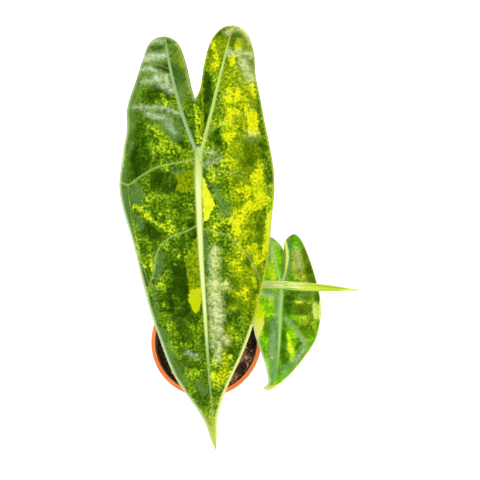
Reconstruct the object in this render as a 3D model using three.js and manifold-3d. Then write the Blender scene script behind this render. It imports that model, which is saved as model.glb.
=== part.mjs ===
// Potted variegated alocasia longiloba in a plastic nursery pot.
// Millimetres, +Z up. The origin is the centre of the pot's base, on the surface it stands on.
// Leaves are drawn flat, x across and y from the attachment toward the tip, and then bent.
import * as THREE from 'three';
import { mergeVertices } from 'three/addons/utils/BufferGeometryUtils.js';
import Module from 'manifold-3d';

const wasm = await Module();
wasm.setup();

// Clearance between neighbouring solids.
const GAP = 0.3;
const ROUND_SEGMENTS = 40;

// Nursery pot.
const POT_HEIGHT = 84;
const POT_RIM_RADIUS = 52.5;
const POT_FOOT_RADIUS = 37;
const POT_WALL = 1.6;
const POT_LIP_WIDTH = 3.8;
const POT_LIP_THICKNESS = 2;
const POT_SKIRT_HEIGHT = 11;
const POT_NECK_RADIUS = POT_RIM_RADIUS - POT_LIP_WIDTH;
const POT_EDGE_ROUND = 0.7;
const POT_FOOT_RING_WIDTH = 5;
const POT_RECESS_HEIGHT = 2.5;
const POT_BOSS_RADIUS = 12;
const POT_DIMPLE_SLOPE = 1;
const DRAIN_HOLES = 8;
const DRAIN_HOLE_RADIUS = 4;
const DRAIN_CIRCLE_RADIUS = 22;
const DRAIN_CUT_LENGTH = 12;
const DRAIN_CUT_MIDDLE = 2;

// Potting mix with bark chips.
const SOIL_LEVEL = 75;
const SOIL_RINGS = 8;
const SOIL_RELIEF = 1.5;
const SOIL_CROWN_RISE = 1.5;
// Ripples of the soil's surface: share of the relief, wave numbers along X and Y, phase.
const SOIL_RIPPLES = [
  [0.25, 0.31, 0.27, 0.7], [0.25, 0.31, -0.27, 1.9], [0.3, 0.71, -0.52, 0], [0.2, 0.4, 0.93, 1.57],
];
const CHIP_COUNT = 42;
const CHIP_SEED = 41;
const CHIP_CLEAR_RADIUS = 14;
const CHIP_REACH = 39.5;
const CHIP_LENGTH = [4.5, 12];
const CHIP_WIDTH_SHARE = [0.4, 0.75];
const CHIP_HEIGHT = [2.2, 4];
const CHIP_TAPER = [0.35, 0.8];
const CHIP_TOP_SHARE = 0.8;
const CHIP_TILT = [-0.4, 0.4];
const CHIP_PITCH = [-0.35, 0.35];
const CHIP_LIFT = 0.5;
const CHIP_SCATTER = 0.5;
const GOLDEN_ANGLE = Math.PI * (3 - Math.sqrt(5));

// Short stem at the crown.
const RHIZOME_RADIUS = 11;
const RHIZOME_BOTTOM = 50;
const RHIZOME_TOP = 81;
const RHIZOME_SCARS = 3;
const RHIZOME_SCAR_DEPTH = 0.5;
const RHIZOME_BEVEL = 1.8;

// Stalks: paths from the crown upward, as points in mm.
const LARGE_PETIOLE_PATH = [
  [0, 3.5, RHIZOME_TOP - 1], [0.5, 14, 112], [1.5, 31, 155], [3.5, 53, 208], [5.4, 71, 262], [6.3, 77.5, 301],
];
const LARGE_PETIOLE_RADII = [5.6, 5.0, 4.3, 3.7, 3.4, 3.6];
const SMALL_PETIOLE_PATH = [
  [7.6, 1, RHIZOME_TOP - 1], [10.4, 4.6, 98], [19.5, 9, 117], [38, 15.6, 136], [57, 22.6, 149],
  [65.4, 25.9, 156], [67.1, 26.5, 164],
];
const SMALL_PETIOLE_RADII = [4, 3.8, 3.2, 2.7, 2.5, 2.4, 2.4];
const NEW_LEAF_PATH = [
  [0.5, -4.4, RHIZOME_TOP + 2], [1.4, 2.4, 104], [3.4, 11.4, 131], [11, 18, 158], [29, 20.2, 188],
  [50.2, 17.2, 216], [75.2, 5.4, 254], [100.7, -9.2, 300],
];
const NEW_LEAF_RADII = [2.6, 2.7, 2.7, 2.7, 2.9, 3.0, 2.5, 0.5];
// The rolled blade grows out of the stalk between these shares of the path; its outer edge
// stands proud by the overlap and winds round by the twist, in turns.
const NEW_LEAF_ROLLED_FROM = [0.36, 0.46];
const NEW_LEAF_OVERLAP = 0.5;
const NEW_LEAF_TWIST = 0.18;

const STALK_STEPS = 26;
const STALK_SIDES = 14;
const NEW_LEAF_STEPS = 40;

// Sheaths: the wings at the foot of a stalk that wrap the next one, as rings given by
// centre and half widths along X and Y, level at the foot and slanting more toward the top.
const SHEATH_SLIT = 1.8;
const SHEATH_SLIT_OVERRUN = 2;
const SHEATH_STEPS = 8;
const LARGE_SHEATH_RINGS = [
  [0.5, -4.4, RHIZOME_TOP, 4.5, 4.5], [1.4, 2.4, 104, 4.8, 4.9], [2.2, 7.2, 118, 4.5, 4.7],
  [3.4, 11.4, 131, 4, 4.2],
];
const LARGE_SHEATH_SLANT = new THREE.Vector2(0, 1.7);
const LARGE_SHEATH_REACH = 8;
const SMALL_SHEATH_RINGS = [
  [0.9, 0.2, RHIZOME_TOP, 8.6, 10.7], [1, 4.9, 97, 8.1, 10.7], [2, 9.8, 112, 7.2, 9.9],
];
const SMALL_SHEATH_SLANT = new THREE.Vector2(1.1, -0.1);
const SMALL_SHEATH_REACH = 14;
const SMALL_SHEATH_SIDES = 18;

const degrees = (value) => THREE.MathUtils.degToRad(value);

// Leaf blades. Outlines run from the foot of the cleft, round the lobe, to the tip.
const LARGE_LEAF = {
  attachment: [6.3, 77.5, 300],
  startSlope: degrees(20),
  forwardBend: degrees(24) / 205,
  backBend: degrees(18) / 90,
  heading: degrees(2.4),
  roll: 0,
  fold: [[-90, 12], [-40, 16], [0, 14], [60, 12], [140, 14], [240, 22]],
  curl: [[-90, 0.75], [0, 0.783], [120, 0.783], [240, 0.739]],
  midrib: [[0, 0], [0, 70], [0.2, 140], [1.3, 210]],
  right: {
    outline: [[-1.4, -38.5], [2.2, -46], [5, -61], [9.5, -77], [16.5, -87], [24.8, -90.1], [34, -86],
      [38, -70], [38.2, -52], [42, -31], [46, -5], [48.4, 22], [45.5, 45], [40.5, 72], [32.5, 104],
      [23, 129], [11, 156], [4, 179], [2.6, 195], [1.3, 210]],
    lobeTip: 5,
    widest: 11,
    lobeRib: [12, -36],
  },
  left: {
    outline: [[-1.4, -38.5], [-3.6, -47], [-6.6, -63], [-11.5, -77], [-20, -82.5], [-29.5, -80],
      [-35.2, -68], [-40, -51], [-45.6, -33], [-47, -20], [-51.5, -6], [-54.3, 12], [-52.5, 28], [-47, 55],
      [-40, 83], [-34, 111], [-24.3, 142], [-11, 169], [-5, 184], [-2.5, 196], [1.3, 210]],
    lobeTip: 4,
    widest: 11,
    lobeRib: [-15, -34],
  },
  laterals: [0.2, 0.4, 0.58, 0.74, 0.88],
  lobeLaterals: [0.33, 0.62, 0.85],
  seamShare: 0.44,
  lobeLength: 88,
  lateralHalf: 2.2,
  rowsBetween: 2,
  columns: 7,
  innerColumns: 3,
  thickness: 0.9,
  midribHalf: 3.6,
  midribTop: 0.9,
  midribBottom: 2.2,
  lateralTop: 0.3,
  lateralBottom: 0.7,
  quilt: 1.1,
  wave: 1.2,
  waveLength: 62,
};

const SMALL_LEAF = {
  attachment: [67.1, 26.5, 163],
  startSlope: degrees(20),
  forwardBend: degrees(26) / 90,
  backBend: degrees(16) / 50,
  heading: 0,
  roll: degrees(5),
  fold: [[-60, 14], [-20, 16], [0, 14], [40, 12], [64, 8], [82, 0]],
  curl: [[-60, 1.25], [0, 1.143], [50, 1.143], [82, 0.286]],
  midrib: [[0, 0], [0.2, 32], [0, 63], [-2, 77], [-10.8, 90.6]],
  right: {
    outline: [[1.2, -9.4], [3.7, -20], [3.2, -35], [3.4, -43.5], [9.5, -48.3], [15.6, -43.5], [21.6, -30.6],
      [29.2, -10.7], [34.9, 10], [36, 26], [30.9, 45], [19.8, 62], [6.7, 81], [-4, 91], [-10.8, 90.6]],
    lobeTip: 4,
    widest: 8,
    lobeRib: [6.5, -22],
  },
  left: {
    outline: [[1.2, -9.4], [1.5, -22], [0.8, -33.5], [-4.5, -41.5], [-12.3, -45.7], [-20, -40], [-24.5, -23],
      [-26.4, -4.4], [-25.8, 9], [-22.4, 33.6], [-17.8, 46.7], [-12.3, 61], [-7.6, 78], [-7.4, 85],
      [-10.8, 90.6]],
    lobeTip: 4,
    widest: 8,
    lobeRib: [-4, -22],
  },
  laterals: [0.24, 0.46, 0.68, 0.86],
  lobeLaterals: [0.36, 0.7],
  seamShare: 0.24,
  lobeLength: 47,
  lateralHalf: 1.4,
  rowsBetween: 1,
  columns: 6,
  innerColumns: 2,
  thickness: 0.8,
  midribHalf: 2,
  midribTop: 0.5,
  midribBottom: 1.3,
  lateralTop: 0.2,
  lateralBottom: 0.4,
  quilt: 0.7,
  wave: 0.6,
  waveLength: 40,
};

// A lateral vein meets the margin ahead of its foot: its share there is the foot's share to this power.
const LATERAL_SWEEP = 0.75;
// Control point of a lateral vein's arc, as shares of its run across and along.
const LATERAL_ARC = [0.62, 0.1];
const WAVE_REACH = 50;
// A rib's relief at its end, and a lobe rib's relief, as shares of the midrib's.
const RIB_END = 0.25;
const LOBE_RIB = 0.75;
// A rib or marginal vein takes at most this share of a row.
const BAND_LIMIT = [0.28, 0.24];
const OUTLINE_SAMPLES = 240;
const WELD = 1000;

// Repeatable random numbers from 0 to 1.
function seededRandom(seed) {
  let state = seed;
  return () => {
    state = (state + 0x6d2b79f5) | 0;
    let value = Math.imul(state ^ (state >>> 15), 1 | state);
    value = (value + Math.imul(value ^ (value >>> 7), 61 | value)) ^ value;
    return ((value ^ (value >>> 14)) >>> 0) / 4294967296;
  };
}

// Straight-line interpolation in a list of [position, value] pairs.
function lookUp(pairs, position) {
  if (position <= pairs[0][0]) return pairs[0][1];
  for (let i = 1; i < pairs.length; i += 1) {
    if (position <= pairs[i][0]) {
      const share = (position - pairs[i - 1][0]) / (pairs[i][0] - pairs[i - 1][0]);
      return THREE.MathUtils.lerp(pairs[i - 1][1], pairs[i][1], share);
    }
  }
  return pairs[pairs.length - 1][1];
}

// A value that runs evenly through a list as share goes from 0 to 1.
function spread(values, share) {
  const pairs = values.map((value, i) => [i / (values.length - 1), value]);
  return lookUp(pairs, share);
}

// Closed solid from a triangle list; the faces are turned outward if they point in.
function solidFrom(points, triangles) {
  const cross = new THREE.Vector3();
  let volume = 0;
  for (const [a, b, c] of triangles) {
    volume += points[a].dot(cross.crossVectors(points[b], points[c]));
  }
  const geometry = new THREE.BufferGeometry();
  geometry.setAttribute('position', new THREE.Float32BufferAttribute(points.flatMap((p) => p.toArray()), 3));
  const ordered = volume > 0 ? triangles : triangles.map(([a, b, c]) => [a, c, b]);
  geometry.setIndex(ordered.flat());
  return geometry;
}

// Skin over a stack of rings with the same number of points, closed by a fan at each end.
function loft(rings) {
  const points = rings.flat();
  const count = rings[0].length;
  const triangles = [];
  for (let i = 0; i + 1 < rings.length; i += 1) {
    for (let j = 0; j < count; j += 1) {
      const next = (j + 1) % count;
      const a = i * count + j;
      const b = i * count + next;
      triangles.push([a, b, b + count], [a, b + count, a + count]);
    }
  }
  const addCap = (start, reverse) => {
    const centre = new THREE.Vector3();
    for (let j = 0; j < count; j += 1) centre.addScaledVector(points[start + j], 1 / count);
    const middle = points.push(centre) - 1;
    for (let j = 0; j < count; j += 1) {
      const a = start + j;
      const b = start + ((j + 1) % count);
      triangles.push(reverse ? [middle, b, a] : [middle, a, b]);
    }
  };
  addCap(0, true);
  addCap((rings.length - 1) * count, false);
  return solidFrom(points, triangles);
}

// Smooth path through points given in mm.
function pathThrough(list) {
  return new THREE.CatmullRomCurve3(list.map((point) => new THREE.Vector3(...point)), false, 'centripetal');
}

// Stalk along a path. outlineAt(share, angle) is the radius of its section.
function stalk(path, steps, sides, outlineAt) {
  const frames = path.computeFrenetFrames(steps, false);
  const rings = [];
  for (let i = 0; i <= steps; i += 1) {
    const share = i / steps;
    const centre = path.getPointAt(share);
    const ring = [];
    for (let j = 0; j < sides; j += 1) {
      const angle = (2 * Math.PI * j) / sides;
      const radius = outlineAt(share, angle);
      ring.push(centre.clone()
        .addScaledVector(frames.normals[i], radius * Math.cos(angle))
        .addScaledVector(frames.binormals[i], radius * Math.sin(angle)));
    }
    rings.push(ring);
  }
  return loft(rings);
}

// The solid of a closed geometry, ready for joining and cutting.
function toManifold(geometry) {
  const bare = geometry.clone();
  bare.deleteAttribute('normal');
  bare.deleteAttribute('uv');
  const welded = mergeVertices(bare, 1e-4);
  const mesh = new wasm.Mesh({
    numProp: 3,
    vertProperties: new Float32Array(welded.attributes.position.array),
    triVerts: new Uint32Array(welded.index.array),
  });
  mesh.merge();
  return new wasm.Manifold(mesh);
}

// The largest body of a solid, as a geometry; loose scraps left by a cut are dropped.
function toGeometry(solid) {
  const bodies = solid.decompose();
  bodies.sort((a, b) => b.volume() - a.volume());
  const mesh = bodies[0].getMesh();
  const geometry = new THREE.BufferGeometry();
  geometry.setAttribute('position', new THREE.Float32BufferAttribute(mesh.vertProperties, 3));
  geometry.setIndex(new THREE.Uint32BufferAttribute(mesh.triVerts, 1));
  return geometry;
}

// Solid of revolution about +Z from a profile of [radius, height] points.
function revolve(profile, segments = ROUND_SEGMENTS) {
  const points = profile.map(([radius, height]) => new THREE.Vector2(radius, height));
  const geometry = new THREE.LatheGeometry(points, segments);
  geometry.rotateX(Math.PI / 2);
  return geometry;
}

// Inner radius of the pot's wall at a height above its base.
function potInnerRadius(height) {
  const share = height / (POT_HEIGHT - POT_LIP_THICKNESS);
  return THREE.MathUtils.lerp(POT_FOOT_RADIUS - POT_WALL, POT_NECK_RADIUS, share);
}

// Inside of the pot's floor from the axis outward, shifted up and in by a clearance.
function potFloorProfile(clearance) {
  const low = POT_WALL + clearance;
  const high = POT_RECESS_HEIGHT + POT_WALL + clearance;
  const ringInner = POT_FOOT_RADIUS - POT_FOOT_RING_WIDTH;
  return [
    [0, low],
    [POT_BOSS_RADIUS - POT_DIMPLE_SLOPE - clearance, low],
    [POT_BOSS_RADIUS - clearance, high],
    [ringInner + clearance, high],
    [ringInner + POT_DIMPLE_SLOPE + clearance, low],
    [potInnerRadius(low) - clearance, low],
  ];
}

// Tapered pot with a flanged lip, a hanging skirt, a recessed floor and drain holes.
function makePot() {
  const skirtBottom = POT_HEIGHT - POT_SKIRT_HEIGHT;
  const under = POT_HEIGHT - POT_LIP_THICKNESS;
  const ringInner = POT_FOOT_RADIUS - POT_FOOT_RING_WIDTH;
  const outerWall = (height) => potInnerRadius(height) + POT_WALL;
  const profile = [
    [0, 0],
    [POT_BOSS_RADIUS, 0],
    [POT_BOSS_RADIUS + POT_DIMPLE_SLOPE, POT_RECESS_HEIGHT],
    [ringInner - POT_DIMPLE_SLOPE, POT_RECESS_HEIGHT],
    [ringInner, 0],
    [POT_FOOT_RADIUS, 0],
    [outerWall(under), under],
    [POT_RIM_RADIUS - POT_WALL, under],
    [POT_RIM_RADIUS - POT_WALL - POT_EDGE_ROUND, skirtBottom],
    [POT_RIM_RADIUS - POT_EDGE_ROUND, skirtBottom],
    [POT_RIM_RADIUS, POT_HEIGHT - POT_EDGE_ROUND],
    [POT_RIM_RADIUS - POT_EDGE_ROUND, POT_HEIGHT],
    [POT_NECK_RADIUS + POT_EDGE_ROUND, POT_HEIGHT],
    [POT_NECK_RADIUS, POT_HEIGHT - POT_EDGE_ROUND],
    [POT_NECK_RADIUS, under],
    ...potFloorProfile(0).reverse(),
  ];
  let pot = toManifold(revolve(profile));
  for (let i = 0; i < DRAIN_HOLES; i += 1) {
    const angle = (2 * Math.PI * (i + 0.5)) / DRAIN_HOLES;
    const hole = new THREE.CylinderGeometry(DRAIN_HOLE_RADIUS, DRAIN_HOLE_RADIUS, DRAIN_CUT_LENGTH, 12);
    hole.rotateX(Math.PI / 2);
    hole.translate(DRAIN_CIRCLE_RADIUS, 0, DRAIN_CUT_MIDDLE);
    hole.rotateZ(angle);
    pot = pot.subtract(toManifold(hole));
  }
  return toGeometry(pot);
}

// Uneven height of the potting mix at a place on its surface.
function soilHeight(x, y) {
  let height = SOIL_LEVEL + SOIL_CROWN_RISE * (1 - Math.hypot(x, y) / POT_NECK_RADIUS);
  for (const [share, alongX, alongY, phase] of SOIL_RIPPLES) {
    height += SOIL_RELIEF * share * Math.sin(x * alongX + y * alongY + phase);
  }
  return height;
}

// One wedge-shaped bark chip, centred on the origin.
function barkChip(random) {
  const pick = ([low, high], share = random()) => THREE.MathUtils.lerp(low, high, share);
  const length = pick(CHIP_LENGTH, random() ** 1.5);
  const width = length * pick(CHIP_WIDTH_SHARE);
  const chip = new THREE.BoxGeometry(length, width, pick(CHIP_HEIGHT));
  const position = chip.attributes.position;
  const taper = pick(CHIP_TAPER);
  for (let i = 0; i < position.count; i += 1) {
    if (position.getX(i) > 0) position.setY(i, position.getY(i) * taper);
    if (position.getZ(i) > 0) position.setX(i, position.getX(i) * CHIP_TOP_SHARE);
  }
  chip.rotateX(pick(CHIP_TILT));
  chip.rotateY(pick(CHIP_PITCH));
  chip.rotateZ(Math.PI * random());
  return chip;
}

// Potting mix that fills the pot, with bark chips sunk into its surface.
function makePottingMix(crown) {
  const rim = potInnerRadius(SOIL_LEVEL) - GAP;
  const profile = potFloorProfile(GAP);
  for (let i = 0; i <= SOIL_RINGS; i += 1) {
    profile.push([rim * (1 - i / SOIL_RINGS), SOIL_LEVEL]);
  }
  const body = revolve(profile);
  const position = body.attributes.position;
  for (let i = 0; i < position.count; i += 1) {
    if (position.getZ(i) > SOIL_LEVEL - 1) {
      position.setZ(i, soilHeight(position.getX(i), position.getY(i)));
    }
  }
  let mix = toManifold(body);
  const random = seededRandom(CHIP_SEED);
  for (let i = 0; i < CHIP_COUNT; i += 1) {
    const angle = i * GOLDEN_ANGLE + CHIP_SCATTER * random();
    const share = (i + 0.5) / CHIP_COUNT;
    const reach = Math.sqrt(THREE.MathUtils.lerp(CHIP_CLEAR_RADIUS ** 2, CHIP_REACH ** 2, share));
    const x = reach * Math.cos(angle);
    const y = reach * Math.sin(angle);
    const chip = barkChip(random);
    chip.translate(x, y, soilHeight(x, y) + CHIP_LIFT);
    mix = mix.add(toManifold(chip));
  }
  return toGeometry(mix.subtract(toManifold(crown)));
}

// Short upright stem with the scars of fallen leaves, widened by a clearance.
function rhizomeShape(clearance) {
  const profile = [[0, RHIZOME_BOTTOM - clearance]];
  const bands = 2 * RHIZOME_SCARS + 2;
  for (let i = 0; i <= bands; i += 1) {
    const share = i / bands;
    const groove = i % 2 === 1 ? RHIZOME_SCAR_DEPTH : 0;
    const swell = 0.6 + 0.4 * Math.sin(Math.PI * Math.min(1, 0.15 + share * 0.6));
    const height = THREE.MathUtils.lerp(RHIZOME_BOTTOM - clearance, RHIZOME_TOP - RHIZOME_BEVEL, share);
    profile.push([RHIZOME_RADIUS * swell - groove + clearance, height]);
  }
  profile.push([RHIZOME_RADIUS - RHIZOME_BEVEL + clearance, RHIZOME_TOP + clearance]);
  profile.push([0, RHIZOME_TOP + clearance]);
  return revolve(profile, 20);
}

// Rolled new leaf on its stalk; its free edge shows as a step that winds slowly round.
function newLeafShape(clearance, steps, sides) {
  const path = pathThrough(NEW_LEAF_PATH);
  return stalk(path, steps, sides, (share, angle) => {
    const rolled = THREE.MathUtils.smoothstep(share, ...NEW_LEAF_ROLLED_FROM);
    const turn = (angle / (2 * Math.PI) + NEW_LEAF_TWIST * share) % 1;
    const radius = spread(NEW_LEAF_RADII, share);
    const step = NEW_LEAF_OVERLAP * rolled * (turn - 0.5) * Math.min(1, radius / 2);
    return radius + step + clearance;
  });
}

// Run and drop of an arc of a given length that starts at a slope and bends down evenly.
function arcRunDrop(length, slope, bend) {
  const end = slope + bend * length;
  if (Math.abs(bend) < 1e-6) return [length * Math.cos(slope), length * Math.sin(slope)];
  return [(Math.sin(end) - Math.sin(slope)) / bend, (Math.cos(slope) - Math.cos(end)) / bend];
}

// Flat blade point to its bent place in space; lift is measured along the blade's normal.
// Across, the blade rises from a rounded valley at the midrib and then curls down.
function bendLeaf(leaf, x, y, lift) {
  const bend = y > 0 ? leaf.forwardBend : leaf.backBend;
  const slope = leaf.startSlope + bend * y;
  const [run, drop] = arcRunDrop(y, leaf.startSlope, bend);
  const side = Math.sign(x);
  const reach = Math.abs(x);
  const valley = leaf.midribHalf;
  const curl = degrees(lookUp(leaf.curl, y));
  const valleyBend = curl - degrees(lookUp(leaf.fold, y)) / valley;
  const inner = Math.min(reach, valley);
  const innerTilt = valleyBend * inner;
  const [innerRun, innerDrop] = arcRunDrop(inner, 0, valleyBend);
  const [outerRun, outerDrop] = arcRunDrop(reach - inner, innerTilt, curl);
  const tilt = innerTilt + curl * (reach - inner);
  const up = new THREE.Vector3(0, -Math.sin(slope), Math.cos(slope));
  const point = new THREE.Vector3(side * (innerRun + outerRun), -run, -drop);
  point.addScaledVector(up, lift * Math.cos(tilt) - innerDrop - outerDrop);
  point.x += lift * Math.sin(tilt) * side;
  point.applyAxisAngle(new THREE.Vector3(0, 1, 0), leaf.roll);
  point.applyAxisAngle(new THREE.Vector3(0, 0, 1), leaf.heading);
  return point.add(new THREE.Vector3(...leaf.attachment));
}

// Rows of a strip: shares 0 to 1 with a tight pair round each vein and even rows between.
function stripRows(veins, between, tight) {
  const rows = [{ share: 0, crest: 1, swell: 0 }];
  let start = 0;
  for (const end of [...veins, 1]) {
    rows.push({ share: start + tight, crest: 0, swell: 0.25 });
    for (let i = 1; i <= between; i += 1) {
      const share = THREE.MathUtils.lerp(start + tight, end - tight, i / (between + 1));
      rows.push({ share, crest: 0, swell: 1 });
    }
    if (end < 1) rows.push({ share: end - tight, crest: 0, swell: 0.25 });
    rows.push({ share: end, crest: end < 1 ? 1 : 0, swell: 0 });
    start = end;
  }
  return rows;
}

// The same rows with the nearest one moved onto a wanted share.
function moveNearest(rows, wanted) {
  const distance = (row) => Math.abs(row.share - wanted) + (row.crest > 0 ? 1 : 0);
  const nearest = rows.reduce((best, row) => (distance(row) < distance(best) ? row : best));
  return rows.map((row) => (row === nearest ? { ...row, share: wanted } : row));
}

// Part of a smooth outline between two of its points, measured along its length.
function outlinePart(list, from, to) {
  const curve = new THREE.SplineCurve(list.map((point) => new THREE.Vector2(...point)));
  const last = list.length - 1;
  const points = [];
  const lengths = [0];
  for (let i = 0; i <= OUTLINE_SAMPLES; i += 1) {
    const place = THREE.MathUtils.lerp(from, to, i / OUTLINE_SAMPLES) / last;
    points.push(curve.getPoint(place));
    if (i > 0) lengths.push(lengths[i - 1] + points[i].distanceTo(points[i - 1]));
  }
  return (share) => {
    const wanted = share * lengths[OUTLINE_SAMPLES];
    let i = 1;
    while (i < OUTLINE_SAMPLES && lengths[i] < wanted) i += 1;
    const part = (wanted - lengths[i - 1]) / (lengths[i] - lengths[i - 1]);
    return points[i - 1].clone().lerp(points[i], THREE.MathUtils.clamp(part, 0, 1));
  };
}

// Point on the arc from a rib to the margin that a lateral vein follows.
function lateralPoint(start, end, share) {
  const control = new THREE.Vector2(
    THREE.MathUtils.lerp(start.x, end.x, LATERAL_ARC[0]),
    THREE.MathUtils.lerp(start.y, end.y, LATERAL_ARC[1]),
  );
  const first = start.clone().lerp(control, share);
  const second = control.lerp(end, share);
  return first.lerp(second, share);
}

// Shares across a row: rib centre, rib edge, even steps, marginal vein and margin.
function rowColumns(length, columns, ribHalf) {
  const edge = Math.min(ribHalf / length, BAND_LIMIT[0]);
  const border = 1 - Math.min((0.9 * ribHalf) / length, BAND_LIMIT[1]);
  const shares = [0];
  for (let i = 0; i <= columns - 2; i += 1) {
    shares.push(THREE.MathUtils.lerp(edge, border, i / (columns - 2)));
  }
  shares.push(1);
  return shares;
}

// Collects flat points with their relief and the triangles between them.
function flatNet() {
  const keys = new Map();
  const places = [];
  const triangles = [];
  const add = (flat, relief) => {
    const key = `${Math.round(flat.x * WELD)},${Math.round(flat.y * WELD)}`;
    if (!keys.has(key)) {
      keys.set(key, places.length);
      places.push({ x: flat.x, y: flat.y, ...relief });
    }
    return keys.get(key);
  };
  const addTriangle = (a, b, c) => {
    if (a !== b && b !== c && a !== c) triangles.push([a, b, c]);
  };
  const addStrip = (grid, mirrored) => {
    for (let i = 0; i + 1 < grid.length; i += 1) {
      for (let j = 0; j + 1 < grid[i].length; j += 1) {
        const [a, b, c, d] = [grid[i][j], grid[i][j + 1], grid[i + 1][j + 1], grid[i + 1][j]];
        if (mirrored) {
          addTriangle(a, c, b);
          addTriangle(a, d, c);
        } else {
          addTriangle(a, b, c);
          addTriangle(a, c, d);
        }
      }
    }
  };
  return { places, triangles, add, addStrip };
}

// One half of a blade, in three strips between its ribs and its margin.
function addBladeHalf(net, leaf, half, mirrored) {
  const last = half.outline.length - 1;
  const midrib = outlinePart(leaf.midrib, 0, leaf.midrib.length - 1);
  const frontMargin = outlinePart(half.outline, half.widest, last);
  const backMargin = outlinePart(half.outline, half.widest, half.lobeTip);
  const innerMargin = outlinePart(half.outline, 0, half.lobeTip);
  const cleftFoot = new THREE.Vector2(...half.outline[0]);
  const lobeTip = new THREE.Vector2(...half.outline[half.lobeTip]);
  const lobeBend = new THREE.Vector2(...half.lobeRib);
  const lobeRib = new THREE.QuadraticBezierCurve(new THREE.Vector2(), lobeBend, lobeTip);
  const ribSize = (share) => 1 - (1 - RIB_END) * share;

  const addRows = (rows, ribAt, marginAt, isMidrib) => {
    const grid = rows.map((row) => {
      const start = ribAt(row.share);
      const end = marginAt(row.share);
      const size = ribSize(row.share) * (isMidrib ? 1 : LOBE_RIB);
      const length = Math.max(start.distanceTo(end), 1e-6);
      const shares = rowColumns(length, leaf.columns, leaf.midribHalf * ribSize(row.share));
      return shares.map((share, j) => {
        const flat = length < 1e-3 ? start : lateralPoint(start, end, share);
        if (j === 0) {
          return net.add(flat, { top: leaf.midribTop * size, bottom: leaf.midribBottom * size, swell: 0 });
        }
        const fade = j === leaf.columns ? 0 : row.crest * (1 - 0.6 * share);
        const inside = Math.sin(Math.PI * Math.min(1, share));
        return net.add(flat, {
          top: leaf.lateralTop * fade,
          bottom: leaf.lateralBottom * fade,
          swell: leaf.quilt * row.swell * inside * Math.min(1, length / leaf.midribHalf / 6),
        });
      });
    });
    net.addStrip(grid, isMidrib ? mirrored : !mirrored);
  };

  const tight = leaf.lateralHalf / leaf.midrib[leaf.midrib.length - 1][1];
  const frontRows = stripRows(leaf.laterals, leaf.rowsBetween, tight);
  addRows(frontRows, midrib, (share) => frontMargin(share ** LATERAL_SWEEP), true);

  const lobeTight = leaf.lateralHalf / leaf.lobeLength;
  const lobeRows = moveNearest(stripRows(leaf.lobeLaterals, leaf.rowsBetween, lobeTight), leaf.seamShare);
  const ribAt = (share) => lobeRib.getPoint(share);
  addRows(lobeRows, ribAt, (share) => backMargin(share ** LATERAL_SWEEP), false);

  const cleftAt = (share) => {
    if (share <= leaf.seamShare) return cleftFoot.clone().multiplyScalar(share / leaf.seamShare);
    return innerMargin((share - leaf.seamShare) / (1 - leaf.seamShare));
  };
  const innerGrid = lobeRows.map((row) => {
    const start = ribAt(row.share);
    const end = cleftAt(row.share);
    const size = LOBE_RIB * ribSize(row.share);
    const line = [];
    for (let j = 0; j <= leaf.innerColumns; j += 1) {
      const share = j / leaf.innerColumns;
      const relief = j === 0
        ? { top: leaf.midribTop * size, bottom: leaf.midribBottom * size, swell: 0 }
        : { top: 0, bottom: 0, swell: 0.3 * leaf.quilt * row.swell * Math.sin(Math.PI * share) };
      line.push(net.add(start.clone().lerp(end, share), relief));
    }
    return line;
  });
  net.addStrip(innerGrid, mirrored);
}

// Leaf blade: the flat net bent into space twice, above and below, and joined at its edge.
function bladeShape(leaf, clearance) {
  const net = flatNet();
  addBladeHalf(net, leaf, leaf.right, false);
  addBladeHalf(net, leaf, leaf.left, true);
  const half = leaf.thickness / 2 + clearance;
  const waveAt = (place) => {
    const reach = Math.min(1, Math.abs(place.x) / WAVE_REACH);
    return leaf.wave * reach * Math.sin((2 * Math.PI * place.y) / leaf.waveLength + Math.sign(place.x));
  };
  const above = net.places.map((p) => bendLeaf(leaf, p.x, p.y, p.swell + waveAt(p) + half + p.top));
  const below = net.places.map((p) => bendLeaf(leaf, p.x, p.y, p.swell + waveAt(p) - half - p.bottom));
  const count = above.length;
  const triangles = [];
  const edges = new Map();
  for (const [a, b, c] of net.triangles) {
    triangles.push([a, b, c], [a + count, c + count, b + count]);
    for (const [from, to] of [[a, b], [b, c], [c, a]]) {
      if (edges.has(`${to},${from}`)) edges.delete(`${to},${from}`);
      else edges.set(`${from},${to}`, [from, to]);
    }
  }
  for (const [from, to] of edges.values()) {
    triangles.push([to, from, from + count], [to, from + count, to + count]);
  }
  return solidFrom([...above, ...below], triangles);
}

// Sheath wall as a stack of rings through the given centres and half widths.
function sheathBody(list, slant, sides, clearance) {
  const path = pathThrough(list);
  const rings = [];
  for (let i = 0; i <= SHEATH_STEPS; i += 1) {
    const share = i / SHEATH_STEPS;
    const centre = path.getPoint(share);
    const halfX = spread(list.map((ring) => ring[3]), share) + clearance;
    const halfY = spread(list.map((ring) => ring[4]), share) + clearance;
    const ring = [];
    for (let j = 0; j < sides; j += 1) {
      const angle = (2 * Math.PI * (j + 0.5)) / sides;
      const offset = new THREE.Vector2(halfX * Math.cos(angle), halfY * Math.sin(angle));
      const lift = share ** 2 * offset.dot(slant);
      ring.push(new THREE.Vector3(centre.x + offset.x, centre.y + offset.y, centre.z + lift));
    }
    rings.push(ring);
  }
  return loft(rings);
}

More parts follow.
